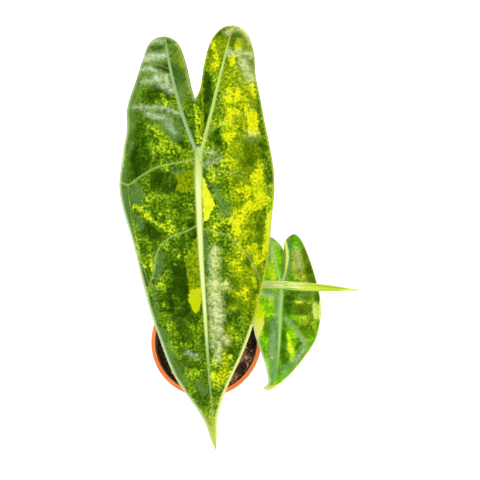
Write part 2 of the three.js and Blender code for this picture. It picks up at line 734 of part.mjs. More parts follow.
// Thin upright cut that opens a sheath from its centre line toward one side.
function sheathSlit(list, direction, reach) {
  const side = new THREE.Vector2(-direction.y, direction.x).multiplyScalar(SHEATH_SLIT / 2);
  const path = pathThrough(list);
  const rings = [];
  for (const share of [0, 0.25, 0.5, 0.75, 1]) {
    const centre = path.getPoint(share);
    centre.z += (2 * share - 1) * SHEATH_SLIT_OVERRUN;
    rings.push([[0, 1], [reach, 1], [reach, -1], [0, -1]].map(([out, turn]) => new THREE.Vector3(
      centre.x + out * direction.x + turn * side.x,
      centre.y + out * direction.y + turn * side.y,
      centre.z,
    )));
  }
  return loft(rings);
}

// Round stalk with radii spread along its path, widened by a clearance.
function plainStalk(list, radii, clearance) {
  return stalk(pathThrough(list), STALK_STEPS, STALK_SIDES, (share) => spread(radii, share) + clearance);
}

// Stalk of the large leaf before anything is cut from it.
function largePetioleBody(clearance) {
  const sheath = toManifold(sheathBody(LARGE_SHEATH_RINGS, LARGE_SHEATH_SLANT, STALK_SIDES, clearance));
  return toManifold(plainStalk(LARGE_PETIOLE_PATH, LARGE_PETIOLE_RADII, clearance)).add(sheath);
}

// Stalk of the large leaf; its sheath holds the stalk of the new leaf.
function makeLargePetiole() {
  const slit = sheathSlit(LARGE_SHEATH_RINGS, new THREE.Vector2(0, -1), LARGE_SHEATH_REACH);
  return toGeometry(largePetioleBody(0)
    .subtract(toManifold(newLeafShape(GAP, NEW_LEAF_STEPS, STALK_SIDES)))
    .subtract(toManifold(slit))
    .subtract(toManifold(rhizomeShape(GAP)))
    .subtract(toManifold(bladeShape(LARGE_LEAF, GAP))));
}

// Stalk of the small leaf; its sheath wraps the foot of the large leaf's stalk.
function makeSmallPetiole() {
  const slit = sheathSlit(SMALL_SHEATH_RINGS, new THREE.Vector2(-1, 0), SMALL_SHEATH_REACH);
  return toGeometry(toManifold(plainStalk(SMALL_PETIOLE_PATH, SMALL_PETIOLE_RADII, 0))
    .add(toManifold(sheathBody(SMALL_SHEATH_RINGS, SMALL_SHEATH_SLANT, SMALL_SHEATH_SIDES, 0)))
    .subtract(largePetioleBody(GAP))
    .subtract(toManifold(slit))
    .subtract(toManifold(rhizomeShape(GAP)))
    .subtract(toManifold(bladeShape(SMALL_LEAF, GAP))));
}

// Named mesh with its own material.
function part(name, geometry, colour, roughness) {
  const material = new THREE.MeshStandardMaterial({ color: colour, roughness, metalness: 0 });
  const mesh = new THREE.Mesh(geometry, material);
  mesh.name = name;
  return mesh;
}

const plant = new THREE.Group();
plant.add(part('pot', makePot(), 0xe0622f, 0.55));
plant.add(part('potting_mix', makePottingMix(rhizomeShape(GAP)), 0x2b1e18, 0.95));
plant.add(part('rhizome', rhizomeShape(0), 0x77673c, 0.8));
plant.add(part('small_petiole', makeSmallPetiole(), 0x9fb45c, 0.5));
plant.add(part('large_petiole', makeLargePetiole(), 0xb4c46e, 0.5));
plant.add(part('new_leaf', newLeafShape(0, NEW_LEAF_STEPS, STALK_SIDES), 0xdbe28c, 0.45));
plant.add(part('large_leaf', bladeShape(LARGE_LEAF, 0), 0x6d9420, 0.4));
plant.add(part('small_leaf', bladeShape(SMALL_LEAF, 0), 0x4f8a2a, 0.4));

export default plant;
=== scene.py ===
"""Looks for a potted variegated alocasia longiloba, seen steeply from above.

Shapes are worked out in millimetres in the part's own frame and become metres in their
meshes. Flat leaf coordinates are millimetres too, x across to the viewer's right and y from
the attachment toward the tip. Every piece bears the name of its node and material slot.
"""

import math

import bpy
import numpy as np
from mathutils import Matrix, Vector


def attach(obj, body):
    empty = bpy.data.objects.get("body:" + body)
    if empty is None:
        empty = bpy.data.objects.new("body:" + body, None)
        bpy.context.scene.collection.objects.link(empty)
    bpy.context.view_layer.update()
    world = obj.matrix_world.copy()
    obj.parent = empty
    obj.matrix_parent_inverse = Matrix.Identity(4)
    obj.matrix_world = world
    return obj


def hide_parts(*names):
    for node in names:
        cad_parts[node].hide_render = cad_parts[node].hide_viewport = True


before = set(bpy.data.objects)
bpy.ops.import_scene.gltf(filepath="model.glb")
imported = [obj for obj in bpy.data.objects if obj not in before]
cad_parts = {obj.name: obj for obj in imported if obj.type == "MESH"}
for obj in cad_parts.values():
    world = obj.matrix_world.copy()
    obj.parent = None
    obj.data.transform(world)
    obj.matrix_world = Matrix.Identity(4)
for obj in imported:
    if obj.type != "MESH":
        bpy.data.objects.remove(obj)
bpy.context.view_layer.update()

MM = 0.001

# Camera, in metres; the lens and the frame it stands for in millimetres.
CAMERA_PLACE = (0.03205, -0.0933, 0.6168)
CAMERA_DOWN = math.radians(70)
CAMERA_LENS = 42.0
CAMERA_FRAME = 36
CAMERA_NEAREST = 0.01

# Studio, in metres and watts.
SURROUNDINGS = 1.1
LAMP_PLACE = (-0.5, -0.3, 1.5)
LAMP_AIM = (0, 0.05, 0.2)
LAMP_SIZE = 1.2
LAMP_POWER = 9
FLOOR_REACH = 3.0
FLOOR_GLOW = 0.35

# Share of a plain plastic's gloss that the waxy leaf shows.
LEAF_GLOSS = 0.01

# The studio light overexposes white by this much, so that the floor stays white.
OVEREXPOSED = 1.3


# Shader helpers

# Places of a Mix node's colour sockets; those of numbers and vectors come between them.
MIX_SHARE = 0
MIX_FIRST = 6
MIX_SECOND = 7
MIX_RESULT = 2

# Scale that leaves a place as it is.
EVEN = (1.0, 1.0, 1.0)


def linear(red, green, blue):
    """Surface colour that shows as this screen colour, 0 to 255, in the studio light."""
    def part(value):
        value /= 255
        light = value / 12.92 if value <= 0.04045 else ((value + 0.055) / 1.055) ** 2.4
        return light / OVEREXPOSED
    return (part(red), part(green), part(blue), 1.0)


class Field:
    """A socket that varies over a surface; arithmetic on it adds Math nodes."""

    def __init__(self, skin, socket):
        self.skin = skin
        self.socket = socket

    def math(self, operation, *values):
        return self.skin.node("ShaderNodeMath", dict(operation=operation), dict(enumerate(values)))

    def __add__(self, other):
        return self.math("ADD", self, other)

    def __radd__(self, other):
        return self.math("ADD", other, self)

    def __sub__(self, other):
        return self.math("SUBTRACT", self, other)

    def __rsub__(self, other):
        return self.math("SUBTRACT", other, self)

    def __mul__(self, other):
        return self.math("MULTIPLY", self, other)

    def __rmul__(self, other):
        return self.math("MULTIPLY", other, self)

    def size(self):
        return self.math("ABSOLUTE", self)

    def ramp(self, low, high, start=0.0, end=1.0):
        """Smooth step from start at low to end at high."""
        values = dict(enumerate((self, low, high, start, end)))
        return self.skin.node("ShaderNodeMapRange", dict(interpolation_type="SMOOTHSTEP"), values)


def set_stops(ramp, stops):
    """Gives a colour ramp its (place, colour) stops."""
    while len(ramp.elements) < len(stops):
        ramp.elements.new(0.5)
    for element, (place, colour) in zip(ramp.elements, stops):
        element.position = place
        element.color = colour


class Skin:
    """A material under way: one Principled shader and the nodes that feed it."""

    def __init__(self, name):
        self.material = bpy.data.materials.new(name)
        self.material.use_nodes = True
        self.tree = self.material.node_tree
        self.shader = self.tree.nodes["Principled BSDF"]

    def attach(self, value, slot):
        """Puts a number, colour, vector or field on an input."""
        if isinstance(value, Field):
            self.tree.links.new(value.socket, slot)
        else:
            slot.default_value = value

    def node(self, kind, settings, sockets, output=0):
        """Adds a node, its settings first, then values or links on its inputs.

        Returns one of its outputs as a field.
        """
        node = self.tree.nodes.new(kind)
        for key, value in settings.items():
            if key == "stops":
                set_stops(node.color_ramp, value)
            else:
                setattr(node, key, value)
        for key, value in sockets.items():
            self.attach(value, node.inputs[key])
        return Field(self, node.outputs[output])

    def attribute(self, name, output="Fac"):
        """A per-vertex value of the mesh."""
        return self.node("ShaderNodeAttribute", dict(attribute_name=name), {}, output)

    def object_place(self):
        """Place on the object, in metres."""
        return self.node("ShaderNodeTexCoord", {}, {}, "Object")

    def scaled(self, place, scale, shift=(0, 0, 0)):
        """A place stretched along each axis and shifted."""
        return self.node("ShaderNodeMapping", {}, dict(Vector=place, Scale=scale, Location=shift))

    def noise(self, place, scale, detail=2.0, rough=0.5, output="Fac"):
        """Cloudy noise, 0 to 1 round a mean of 0.5."""
        sockets = dict(Vector=place, Scale=scale, Detail=detail, Roughness=rough)
        return self.node("ShaderNodeTexNoise", {}, sockets, output)

    def cell_tone(self, place, scale):
        """A tone of its own for each cell of a pattern of cells."""
        return self.node("ShaderNodeTexVoronoi", {}, dict(Vector=place, Scale=scale), "Color")

    def cell_border(self, place, scale):
        """Distance to the border between the cells of a pattern of cells."""
        return self.node("ShaderNodeTexVoronoi", dict(feature="DISTANCE_TO_EDGE"),
                         dict(Vector=place, Scale=scale), "Distance")

    def length_along(self, place, axes):
        """Length of a place counted along some axes: (1, 1, 0) is the distance from the Z axis."""
        return self.node("ShaderNodeVectorMath", dict(operation="LENGTH"),
                         {0: self.scaled(place, axes)}, "Value")

    def warped(self, place, scale, reach):
        """A place pushed about by noise, so that patterns on it get wandering edges."""
        push = self.noise(place, scale, output="Color")
        return self.node("ShaderNodeVectorMath", dict(operation="MULTIPLY_ADD"),
                         {0: push, 1: (reach, reach, reach), 2: place})

    def colour_scale(self, level, stops):
        """Colour that runs through (level, screen colour) stops."""
        stops = [(place, linear(*colour)) for place, colour in stops]
        return self.node("ShaderNodeValToRGB", dict(stops=stops), dict(Fac=level), "Color")

    def blend(self, share, first, second):
        """Colour that goes from first to second as share goes from 0 to 1."""
        sockets = {MIX_SHARE: share, MIX_FIRST: first, MIX_SECOND: second}
        return self.node("ShaderNodeMix", dict(data_type="RGBA"), sockets, MIX_RESULT)

    def finish(self, colour, roughness, gloss, relief, depth):
        """Puts the finish on the shader and returns the material.

        relief only turns the light, as if it were as deep as depth, in metres.
        """
        self.attach(colour, self.shader.inputs["Base Color"])
        self.attach(roughness, self.shader.inputs["Roughness"])
        self.attach(gloss, self.shader.inputs["Specular IOR Level"])
        light = self.node("ShaderNodeBump", {}, dict(Distance=depth, Height=relief))
        self.attach(light, self.shader.inputs["Normal"])
        return self.material


# Mesh helpers


def add_piece(name, mesh, material):
    """Object of a finished mesh that stands for the CAD node of its name."""
    mesh.polygons.foreach_set("use_smooth", np.ones(len(mesh.polygons), dtype=bool))
    mesh.materials.clear()
    mesh.materials.append(material)
    piece = bpy.data.objects.new(name, mesh)
    bpy.context.scene.collection.objects.link(piece)
    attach(piece, "root")
    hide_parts(name)


def make_piece(name, points, faces, material, values=None, flat=None):
    """Smooth piece from points in mm.

    values are named per-vertex numbers and flat is a per-vertex vector for patterns.
    """
    mesh = bpy.data.meshes.new(name)
    mesh.from_pydata((points * MM).tolist(), [], [tuple(map(int, face)) for face in faces])
    for key, data in (values or {}).items():
        layer = mesh.attributes.new(key, "FLOAT", "POINT")
        layer.data.foreach_set("value", np.asarray(data, dtype=np.float32))
    if flat is not None:
        layer = mesh.attributes.new("flat", "FLOAT_VECTOR", "POINT")
        layer.data.foreach_set("vector", np.asarray(flat, dtype=np.float32).ravel())
    mesh.validate()
    add_piece(name, mesh, material)


def ring_angles(sides):
    """Angles of evenly spaced points round a circle."""
    return 2 * np.pi * np.arange(sides) / sides


def grid_quads(index):
    """Quads between the neighbouring rows and columns of a grid of point numbers."""
    corners = [index[:-1, :-1], index[:-1, 1:], index[1:, 1:], index[1:, :-1]]
    return np.stack([corner.ravel() for corner in corners], axis=-1)


def closed_quads(index):
    """Quads of a grid whose last column meets its first."""
    return grid_quads(np.concatenate([index, index[:, :1]], axis=1))


def clean_faces(quads):
    """Quads with repeated corners dropped, as triangles where three corners stay."""
    faces = []
    for quad in quads:
        kept = [int(v) for i, v in enumerate(quad) if v != quad[i - 1]]
        if len(set(kept)) >= 3:
            faces.append(tuple(kept))
    return faces


def join_meshes(parts):
    """One mesh's points and faces from several."""
    points, faces, start = [], [], 0
    for part_points, part_faces in parts:
        points.append(part_points)
        faces += [tuple(int(v) + start for v in face) for face in part_faces]
        start += len(part_points)
    return np.concatenate(points), faces


def catmull(points, per_span):
    """Smooth curve through points, per_span samples between each two.

    Between two points it is a cubic whose slope at each is half the step between that
    point's neighbours.
    """
    points = np.asarray(points, dtype=float)
    ends = np.concatenate([points[:1], points, points[-1:]])
    share = np.linspace(0, 1, per_span, endpoint=False)[:, None]
    spans = []
    for i in range(len(points) - 1):
        before, start, end, after = ends[i:i + 4]
        pull, push = (end - before) / 2, (after - start) / 2
        spans.append((2 * start - 2 * end + pull + push) * share ** 3
                     + (3 * end - 3 * start - 2 * pull - push) * share ** 2 + pull * share + start)
    return np.concatenate(spans + [points[-1:]])


def run_length(line):
    """Length along a polyline at each of its points."""
    steps = np.linalg.norm(np.diff(line, axis=0), axis=1)
    return np.concatenate([[0], np.cumsum(steps)])


def along(line, shares):
    """Points at shares of a polyline's length."""
    lengths = run_length(line)
    wanted = np.asarray(shares) * lengths[-1]
    return np.stack([np.interp(wanted, lengths, line[:, k]) for k in range(line.shape[1])], axis=-1)


def distance_to(points, lines):
    """Distance from each point to the nearest of some polylines."""
    best = np.full(len(points), np.inf)
    for line in lines:
        for start, end in zip(line[:-1], line[1:]):
            step = end - start
            share = np.clip((points - start) @ step / max(step @ step, 1e-12), 0, 1)
            gap = np.linalg.norm(points - start - share[:, None] * step, axis=1)
            best = np.minimum(best, gap)
    return best


def inside_polygon(points, corners):
    """Depth inside a closed outline in mm, negative outside it."""
    corners = np.asarray(corners, dtype=float)
    loop = np.concatenate([corners, corners[:1]])
    depth = distance_to(points, [loop])
    inside = np.zeros(len(points), dtype=bool)
    for (ax, ay), (bx, by) in zip(loop[:-1], loop[1:]):
        if ay == by:
            continue
        crosses = (points[:, 1] > ay) != (points[:, 1] > by)
        inside ^= crosses & (points[:, 0] < ax + (points[:, 1] - ay) * (bx - ax) / (by - ay))
    return np.where(inside, depth, -depth)


def patch_depth(points, strokes, outlines=()):
    """Depth inside the nearest of some strokes and outlines, in mm, negative outside all.

    A stroke is a radius and the points that its middle line runs through.
    """
    best = np.full(len(points), FAR_OUTSIDE)
    for radius, *line in strokes:
        line = np.array(line if len(line) > 1 else line * 2, dtype=float)
        best = np.maximum(best, radius - distance_to(points, [line]))
    for outline in outlines:
        best = np.maximum(best, inside_polygon(points, outline))
    return best


# Leaf blades


# Blade dimensions in mm and radians. They are the CAD's, but the blades are thinner and the
# small one's cleft is closed. fold and curl are (places along the blade, degrees or degrees a
# mm). ridge is the line that the midrib is seen along, and rib_half, rib_top and rib_bottom
# are its half width and its heights. veins_fade, lobe_veins, right_veins and veinless say
# where the side veins weaken, and collective is the vein along the left margin. warm areas
# have yellower greens. Each half has its outline from the foot of the cleft to the tip, the
# numbers of the outline points at the lobe's tip and at the widest place, the point that
# bends its lobe's rib, and its veins: start on the rib, points between, end on the margin.
LARGE_LEAF = dict(
    attachment=(6.3, 77.5, 300.0), start_slope=math.radians(20), heading=math.radians(2.4), roll=0.0,
    forward_bend=math.radians(24) / 205, back_bend=math.radians(18) / 90, valley=3.6,
    fold=([-90, -40, 0, 60, 140, 240], [12, 16, 14, 12, 14, 22]),
    curl=([-90, 0, 120, 240], [0.75, 0.783, 0.783, 0.739]),
    wave=1.2, wave_length=62, quilt=1.1, thickness=0.7,
    columns=44, inner_columns=16, front_rows=250, back_rows=110,
    midrib=[(0, 0), (0, 70), (0.2, 140), (1.3, 210)],
    ridge=[(-0.4, -4.5), (-0.5, 0), (-1.4, 20), (-1.7, 60), (-1.0, 100), (-0.4, 140), (1.3, 210)],
    rib_half=2.5, rib_top=0.9, rib_bottom=2.0, lobe_rib_share=0.6, seam_share=0.44,
    veins_fade=95, lobe_veins=0.35, right_veins=0.75, veinless=[(6, (30, 13), (46, 22))],
    collective=[(-47, 15), (-46, 30), (-45, 45), (-42.5, 60), (-37, 78), (-34, 90), (-31, 108),
                (-26, 125), (-20, 140)],
    warm=[(16, (30, -80), (28, -30), (30, 60), (26, 90)), (9, (14, -74), (12, -60)),
          (7, (14, 110), (8, 150))],
    right=dict(
        outline=[(-1.4, -38.5), (2.2, -46), (5, -61), (9.5, -77), (16.5, -87), (24.8, -90.1), (34, -86),
                 (38, -70), (38.2, -52), (42, -31), (46, -5), (48.4, 22), (45.5, 45), (40.5, 72),
                 (32.5, 104), (23, 129), (11, 156), (4, 179), (2.6, 195), (1.3, 210)],
        lobe_tip=5, widest=11, lobe_rib=(12, -36),
        front=[(0, [(3.6, 6.2), (11, 9), (19, 9.8), (28, 14), (38, 19.5)], 22),
               (45, [(8, 47.3), (15, 49.5), (22, 56), (29, 65), (33, 72)], 86),
               (88, [(9, 92), (18, 100), (25, 110)], 122),
               (122, [(8, 127), (14, 136)], 150),
               (153, [(4, 159)], 172),
               (180, [], 190)],
        back=[(-9, [(7, -15.5), (13, -19.6), (22, -24), (33, -29)], -33),
              (-33, [(15, -38), (24, -44), (32, -49)], -56),
              (-50, [(19, -54), (27, -58), (33, -62)], -69),
              (-65, [(23, -67.5), (30, -68.5)], -76)],
    ),
    left=dict(
        outline=[(-1.4, -38.5), (-3.6, -47), (-6.6, -63), (-11.5, -77), (-20, -82.5), (-29.5, -80),
                 (-35.2, -68), (-40, -51), (-45.6, -33), (-47, -20), (-51.5, -6), (-54.3, 12),
                 (-52.5, 28), (-47, 55), (-40, 83), (-34, 111), (-24.3, 142), (-11, 169), (-5, 184),
                 (-2.5, 196), (1.3, 210)],
        lobe_tip=4, widest=11, lobe_rib=(-15, -34),
        front=[(0, [(-10, 2), (-20, 3.6), (-28, 5.2), (-38, 10), (-47, 15)], 12),
               (41, [(-10, 46), (-20, 49.3), (-27, 54.5), (-31, 62), (-33, 72)], 88),
               (84, [(-10, 89), (-20, 98), (-27, 109)], 124),
               (122, [(-8, 127), (-15, 137)], 152),
               (153, [(-5, 160)], 174),
               (180, [], 191)],
        back=[(-27, [(-14, -29.4), (-21, -31.8), (-29, -33.2), (-38, -33.6)], -35),
              (-44, [(-20, -47), (-27, -50.5), (-34, -52.5)], -57),
              (-58, [(-24, -61.5), (-30, -64)], -68),
              (-69, [(-24, -70), (-29, -71.5)], -77)],
    ),
)

SMALL_LEAF = dict(
    attachment=(67.1, 26.5, 163.0), start_slope=math.radians(20), heading=0.0, roll=math.radians(5),
    forward_bend=math.radians(26) / 90, back_bend=math.radians(16) / 50, valley=2.0,
    fold=([-60, -20, 0, 40, 64, 82], [14, 16, 14, 12, 8, 0]),
    curl=([-60, 0, 50, 82], [1.25, 1.143, 1.143, 0.286]),
    wave=0.6, wave_length=40, quilt=0.7, thickness=0.6,
    columns=34, inner_columns=14, front_rows=130, back_rows=66,
    midrib=[(0, 0), (0.2, 32), (0, 63), (-2, 77), (-10.8, 90.6)],
    ridge=[(-0.4, 0), (-0.8, 20), (-0.2, 50), (-0.4, 63), (-2, 77), (-10.8, 90.6)],
    rib_half=1.8, rib_top=0.5, rib_bottom=1.2, lobe_rib_share=0.7, seam_share=0.24,
    veins_fade=75, lobe_veins=0.5, right_veins=0.8, veinless=[],
    collective=[(-24, 6), (-22.5, 20), (-19, 33), (-15.5, 46)],
    warm=[(14, (15, -24), (20, 0), (24, 24)), (6, (26, 32), (22, 43))],
    right=dict(
        outline=[(1.2, -9.4), (1.65, -20), (1.0, -34), (2.2, -42.5), (9.5, -48.3), (15.6, -43.5),
                 (21.6, -30.6), (29.2, -10.7), (34.9, 10), (36, 26), (30.9, 45), (19.8, 62), (6.7, 81),
                 (-4, 91), (-10.8, 90.6)],
        lobe_tip=4, widest=8, lobe_rib=(6.5, -22),
        front=[(0, [(10, 4), (20, 7.4)], 10),
               (19, [(6, 23), (12, 30), (18, 37), (24, 45)], 51),
               (45, [(7, 51), (13, 59)], 67),
               (66, [(4, 71)], 79)],
        back=[(-14, [(8, -18), (15, -22), (21, -25)], -27),
              (-28, [(9, -31), (14, -34)], -38)],
    ),
    left=dict(
        outline=[(1.2, -9.4), (1.75, -22), (1.15, -33.5), (-4.5, -41.5), (-12.3, -45.7), (-20, -40),
                 (-24.5, -23), (-26.4, -4.4), (-25.8, 9), (-22.4, 33.6), (-17.8, 46.7), (-12.3, 61),
                 (-7.6, 78), (-7.4, 85), (-10.8, 90.6)],
        lobe_tip=4, widest=8, lobe_rib=(-4.4, -16),
        front=[(0, [(-8, 3), (-16, 5.5)], 9),
               (18, [(-6, 21.5), (-12, 27), (-16, 34)], 44),
               (44, [(-5, 49), (-9, 56)], 63),
               (66, [(-4, 71)], 77)],
        back=[(-14, [(-9, -18), (-16, -22)], -26),
              (-27, [(-11, -31), (-16, -34)], -37)],
    ),
)


# Samples between two points of an outline, a midrib, a vein, a ridge and a collective vein,
# and along a lobe's rib.
OUTLINE_STEPS = 24
MIDRIB_STEPS = 40
VEIN_STEPS = 16
RIDGE_STEPS = 20
COLLECTIVE_STEPS = 6
LOBE_RIB_STEPS = 80

# Place of the lobe's strip among the three of a half blade.
BACK_STRIP = 1

# Points of the flat net are one where they round to the same place on a grid of this many
# lines a millimetre.
WELD_LINES = 500

# Width over which warm areas pass into cool ones, in mm.
WARM_EDGE = 10

# Reach of the midrib's shoulder, and the run over which ribs would vanish backward, in mm.
SHOULDER_REACH = 45
LOBE_TAPER = 110

# Half width of a vein's groove and width of the margin's rounding, in mm.
GROOVE_HALF = 1.6
ROUNDED_EDGE = 0.8

# Shift of the speckle between the upper and the lower face, in mm.
UNDERSIDE_SHIFT = 3.0

# Depth outside every patch at which its distance stops counting, in mm.
FAR_OUTSIDE = -8.0


def arc_run_drop(length, slope, bend):
    """Run and drop of an arc that starts at a slope and bends down evenly."""
    bend = np.where(np.abs(bend) < 1e-6, 1e-6, bend)
    end = slope + bend * length
    return (np.sin(end) - np.sin(slope)) / bend, (np.cos(slope) - np.cos(end)) / bend


def bend_leaf(leaf, x, y, lift):
    """Flat blade points to their places in space, in mm.

    Along y the blade follows an arc that starts at start_slope. Across, it rises from a
    rounded valley at the midrib and then curls down. lift is along the blade's normal.
    """
    bend = np.where(y > 0, leaf["forward_bend"], leaf["back_bend"])
    slope = leaf["start_slope"] + bend * y
    run, drop = arc_run_drop(y, leaf["start_slope"], bend)
    side, reach, valley = np.sign(x), np.abs(x), leaf["valley"]
    curl = np.radians(np.interp(y, *leaf["curl"]))
    valley_bend = curl - np.radians(np.interp(y, *leaf["fold"])) / valley
    inner = np.minimum(reach, valley)
    inner_tilt = valley_bend * inner
    inner_run, inner_drop = arc_run_drop(inner, 0.0, valley_bend)
    outer_run, outer_drop = arc_run_drop(reach - inner, inner_tilt, curl)
    tilt = inner_tilt + curl * (reach - inner)
    rise = lift * np.cos(tilt) - inner_drop - outer_drop
    px = side * (inner_run + outer_run + lift * np.sin(tilt))
    py = -run - rise * np.sin(slope)
    pz = -drop + rise * np.cos(slope)
    roll = leaf["roll"]
    heading = leaf["heading"]
    px, pz = px * math.cos(roll) + pz * math.sin(roll), pz * math.cos(roll) - px * math.sin(roll)
    headed_x = px * math.cos(heading) - py * math.sin(heading)
    headed_y = px * math.sin(heading) + py * math.cos(heading)
    return np.stack([headed_x, headed_y, pz], axis=-1) + np.array(leaf["attachment"])


def at_height(line, y):
    """Share of a polyline's length at which it first reaches a y."""
    if len(line) < 2:
        return 0.0
    ahead = (line[:, 1] - y) * np.sign(line[-1, 1] - line[0, 1])
    index = max(1, int(np.argmax(ahead >= 0)))
    lengths = run_length(line)
    span = ahead[index] - ahead[index - 1]
    part = 0.0 if abs(span) < 1e-9 else -ahead[index - 1] / span
    return (lengths[index - 1] + part * (lengths[index] - lengths[index - 1])) / lengths[-1]


def strip_grid(rib, margin, veins, rows, columns):
    """Grid of flat points between a rib and a margin, its rows bent along the veins.

    A row at a part of the way between two veins is a mixture of both in that part, and the
    gaps that it leaves at the rib and the margin are shared out along it. Past the last vein
    the rows close in on the rib's end. The swell is sin(pi * part) ** 0.8 between veins and
    0.5 * sin(pi * part) past the last. Returns the points, the swell and each vein's line.
    """
    shares = np.linspace(0, 1, columns + 1)
    starts, ends, lines, curves = [], [], [], []
    for rib_y, inner, margin_y in veins:
        starts.append(at_height(rib, rib_y))
        ends.append(at_height(margin, margin_y))
        first, last = along(rib, starts[-1:])[0], along(margin, ends[-1:])[0]
        curves.append(catmull([first, *inner, last], VEIN_STEPS))
        lines.append(along(curves[-1], shares))
    starts.append(1.0)
    ends.append(1.0)
    lines.append(np.repeat(rib[-1:], columns + 1, axis=0))
    grid, swell = [], []
    for row_share in np.linspace(0, 1, rows + 1):
        k = min(int(np.searchsorted(starts, row_share, side="right")) - 1, len(starts) - 2)
        part = (row_share - starts[k]) / (starts[k + 1] - starts[k])
        row = lines[k] + (lines[k + 1] - lines[k]) * part
        start = along(rib, [row_share])[0]
        end = along(margin, [ends[k] + (ends[k + 1] - ends[k]) * part])[0]
        row = row + (start - row[0]) * (1 - shares[:, None]) + (end - row[-1]) * shares[:, None]
        row[0], row[-1] = start, end
        grid.append(row)
        between = math.sin(math.pi * part)
        past_last_vein = k == len(starts) - 2
        swell.append(0.5 * between if past_last_vein else between ** 0.8)
    return np.array(grid), np.array(swell), curves


def half_strips(leaf, half):
    """The three grids of one half of a blade, their swell, and its lines for ribs and veins.

    The front lies between midrib and margin, the back between the lobe's rib and the margin,
    and the inner strip, evenly spaced, between the lobe's rib and the line to and along the
    cleft. The lobe's rib is a parabola from the attachment to the lobe's tip.
    """
    outline = catmull(half["outline"], OUTLINE_STEPS)
    widest, lobe_tip = half["widest"] * OUTLINE_STEPS, half["lobe_tip"] * OUTLINE_STEPS
    midrib = catmull(leaf["midrib"], MIDRIB_STEPS)
    tip = np.array(half["outline"][half["lobe_tip"]], dtype=float)
    share = np.linspace(0, 1, LOBE_RIB_STEPS + 1)[:, None]
    lobe_rib = 2 * share * (1 - share) * np.array(half["lobe_rib"]) + share ** 2 * tip
    columns = leaf["columns"]
    front, front_swell, front_veins = strip_grid(midrib, outline[widest:], half["front"],
                                                 leaf["front_rows"], columns)
    back_keys = [(0, half["front"][0][1], half["front"][0][2]), *half["back"]]
    back, back_swell, back_veins = strip_grid(lobe_rib, outline[lobe_tip:widest + 1][::-1], back_keys,
                                              leaf["back_rows"], columns)
    back[0] = front[0]
    seam_rows = int(round(leaf["seam_share"] * leaf["back_rows"]))
    seam = [outline[0] * i / seam_rows for i in range(seam_rows)]
    cleft = along(outline[:lobe_tip + 1], np.linspace(0, 1, leaf["back_rows"] + 1 - seam_rows))
    steps = np.linspace(0, 1, leaf["inner_columns"] + 1)[:, None]
    inner = np.array([a + (b - a) * steps for a, b in zip(back[:, 0], np.concatenate([seam, cleft]))])
    lines = dict(ribs=[midrib, lobe_rib], veins=front_veins + back_veins[1:], margin=[outline])
    return [(front, front_swell), (back, back_swell), (inner, 0.3 * back_swell)], lines


def blade_net(leaf):
    """Welded flat net of a whole blade.

    A strip's swell is multiplied by sin(pi * share) ** 0.7, with share from 0 at its rib to 1
    at its other side. Returns flat points, quads as seen from above, swell, and the lines of
    both halves.
    """
    points, swells, quads = [], [], []
    lines = dict(ribs=[], veins=[], margin=[])
    start = 0
    for side, half in ((1, leaf["right"]), (-1, leaf["left"])):
        strips, half_lines = half_strips(leaf, half)
        for key, half_found in half_lines.items():
            lines[key] += half_found
        for kind, (grid, swell) in enumerate(strips):
            rows, columns = grid.shape[:2]
            across = np.linspace(0, 1, columns)
            points.append(grid.reshape(-1, 2))
            swells.append((swell[:, None] * np.sin(np.pi * across) ** 0.7).ravel())
            found = grid_quads(start + np.arange(rows * columns).reshape(rows, columns))
            facing_down = (side > 0) == (kind == BACK_STRIP)
            quads.append(found[:, ::-1] if facing_down else found)
            start += rows * columns
    points, swells, quads = np.concatenate(points), np.concatenate(swells), np.concatenate(quads)
    keys = np.round(points * WELD_LINES).astype(np.int64)
    _, chosen, inverse = np.unique(keys, axis=0, return_index=True, return_inverse=True)
    return points[chosen], inverse.ravel()[quads], swells[chosen], lines


def border_edges(faces):
    """Directed edges that only one face uses."""
    edges = {}
    for face in faces:
        for a, b in zip(face, face[1:] + face[:1]):
            if (b, a) in edges:
                del edges[(b, a)]
            else:
                edges[(a, b)] = True
    return list(edges)


def rib_taper(leaf, flat):
    """1 at the attachment, falling evenly to 0 at the tip and to 0.3 far back in the lobes."""
    tip_y = leaf["midrib"][-1][1]
    return np.clip(1 - flat[:, 1] / tip_y, 0, 1) * np.clip(1 + flat[:, 1] / LOBE_TAPER, 0.3, 1)


def rib_distance(leaf, flat, lines):
    """Distance to the midrib and to the lobe ribs, each counted in that rib's own half width.

    The midrib has a bell-shaped shoulder at the attachment and narrows with the taper.
    """
    taper = rib_taper(leaf, flat)
    shoulder = 0.25 * np.exp(-(flat[:, 1] / SHOULDER_REACH) ** 2)
    midrib = distance_to(flat, [catmull(leaf["ridge"], RIDGE_STEPS)])
    lobe_rib = distance_to(flat, lines["ribs"][1::2])
    midrib = midrib / (leaf["rib_half"] * (0.13 + 0.9 * taper + shoulder))
    lobe_rib = lobe_rib / (leaf["rib_half"] * leaf["lobe_rib_share"] * (0.3 + 0.7 * taper))
    return midrib, lobe_rib


def vein_shown(leaf, flat, margin):
    """How clearly the side veins show, 0 to 1.

    They fade toward the tip, the edge, the lobes and the patches without veins.
    """
    shown = np.clip((leaf["veins_fade"] - flat[:, 1]) / 25, 0.1, 1) * np.clip(margin / 3, 0, 1)
    shown = shown * np.clip(1 + (flat[:, 1] + 12) / 40, leaf["lobe_veins"], 1)
    shown = shown * np.where(flat[:, 0] > 0, leaf["right_veins"], 1.0)
    return shown * np.clip(-patch_depth(flat, leaf["veinless"]) / 3, 0.15, 1)


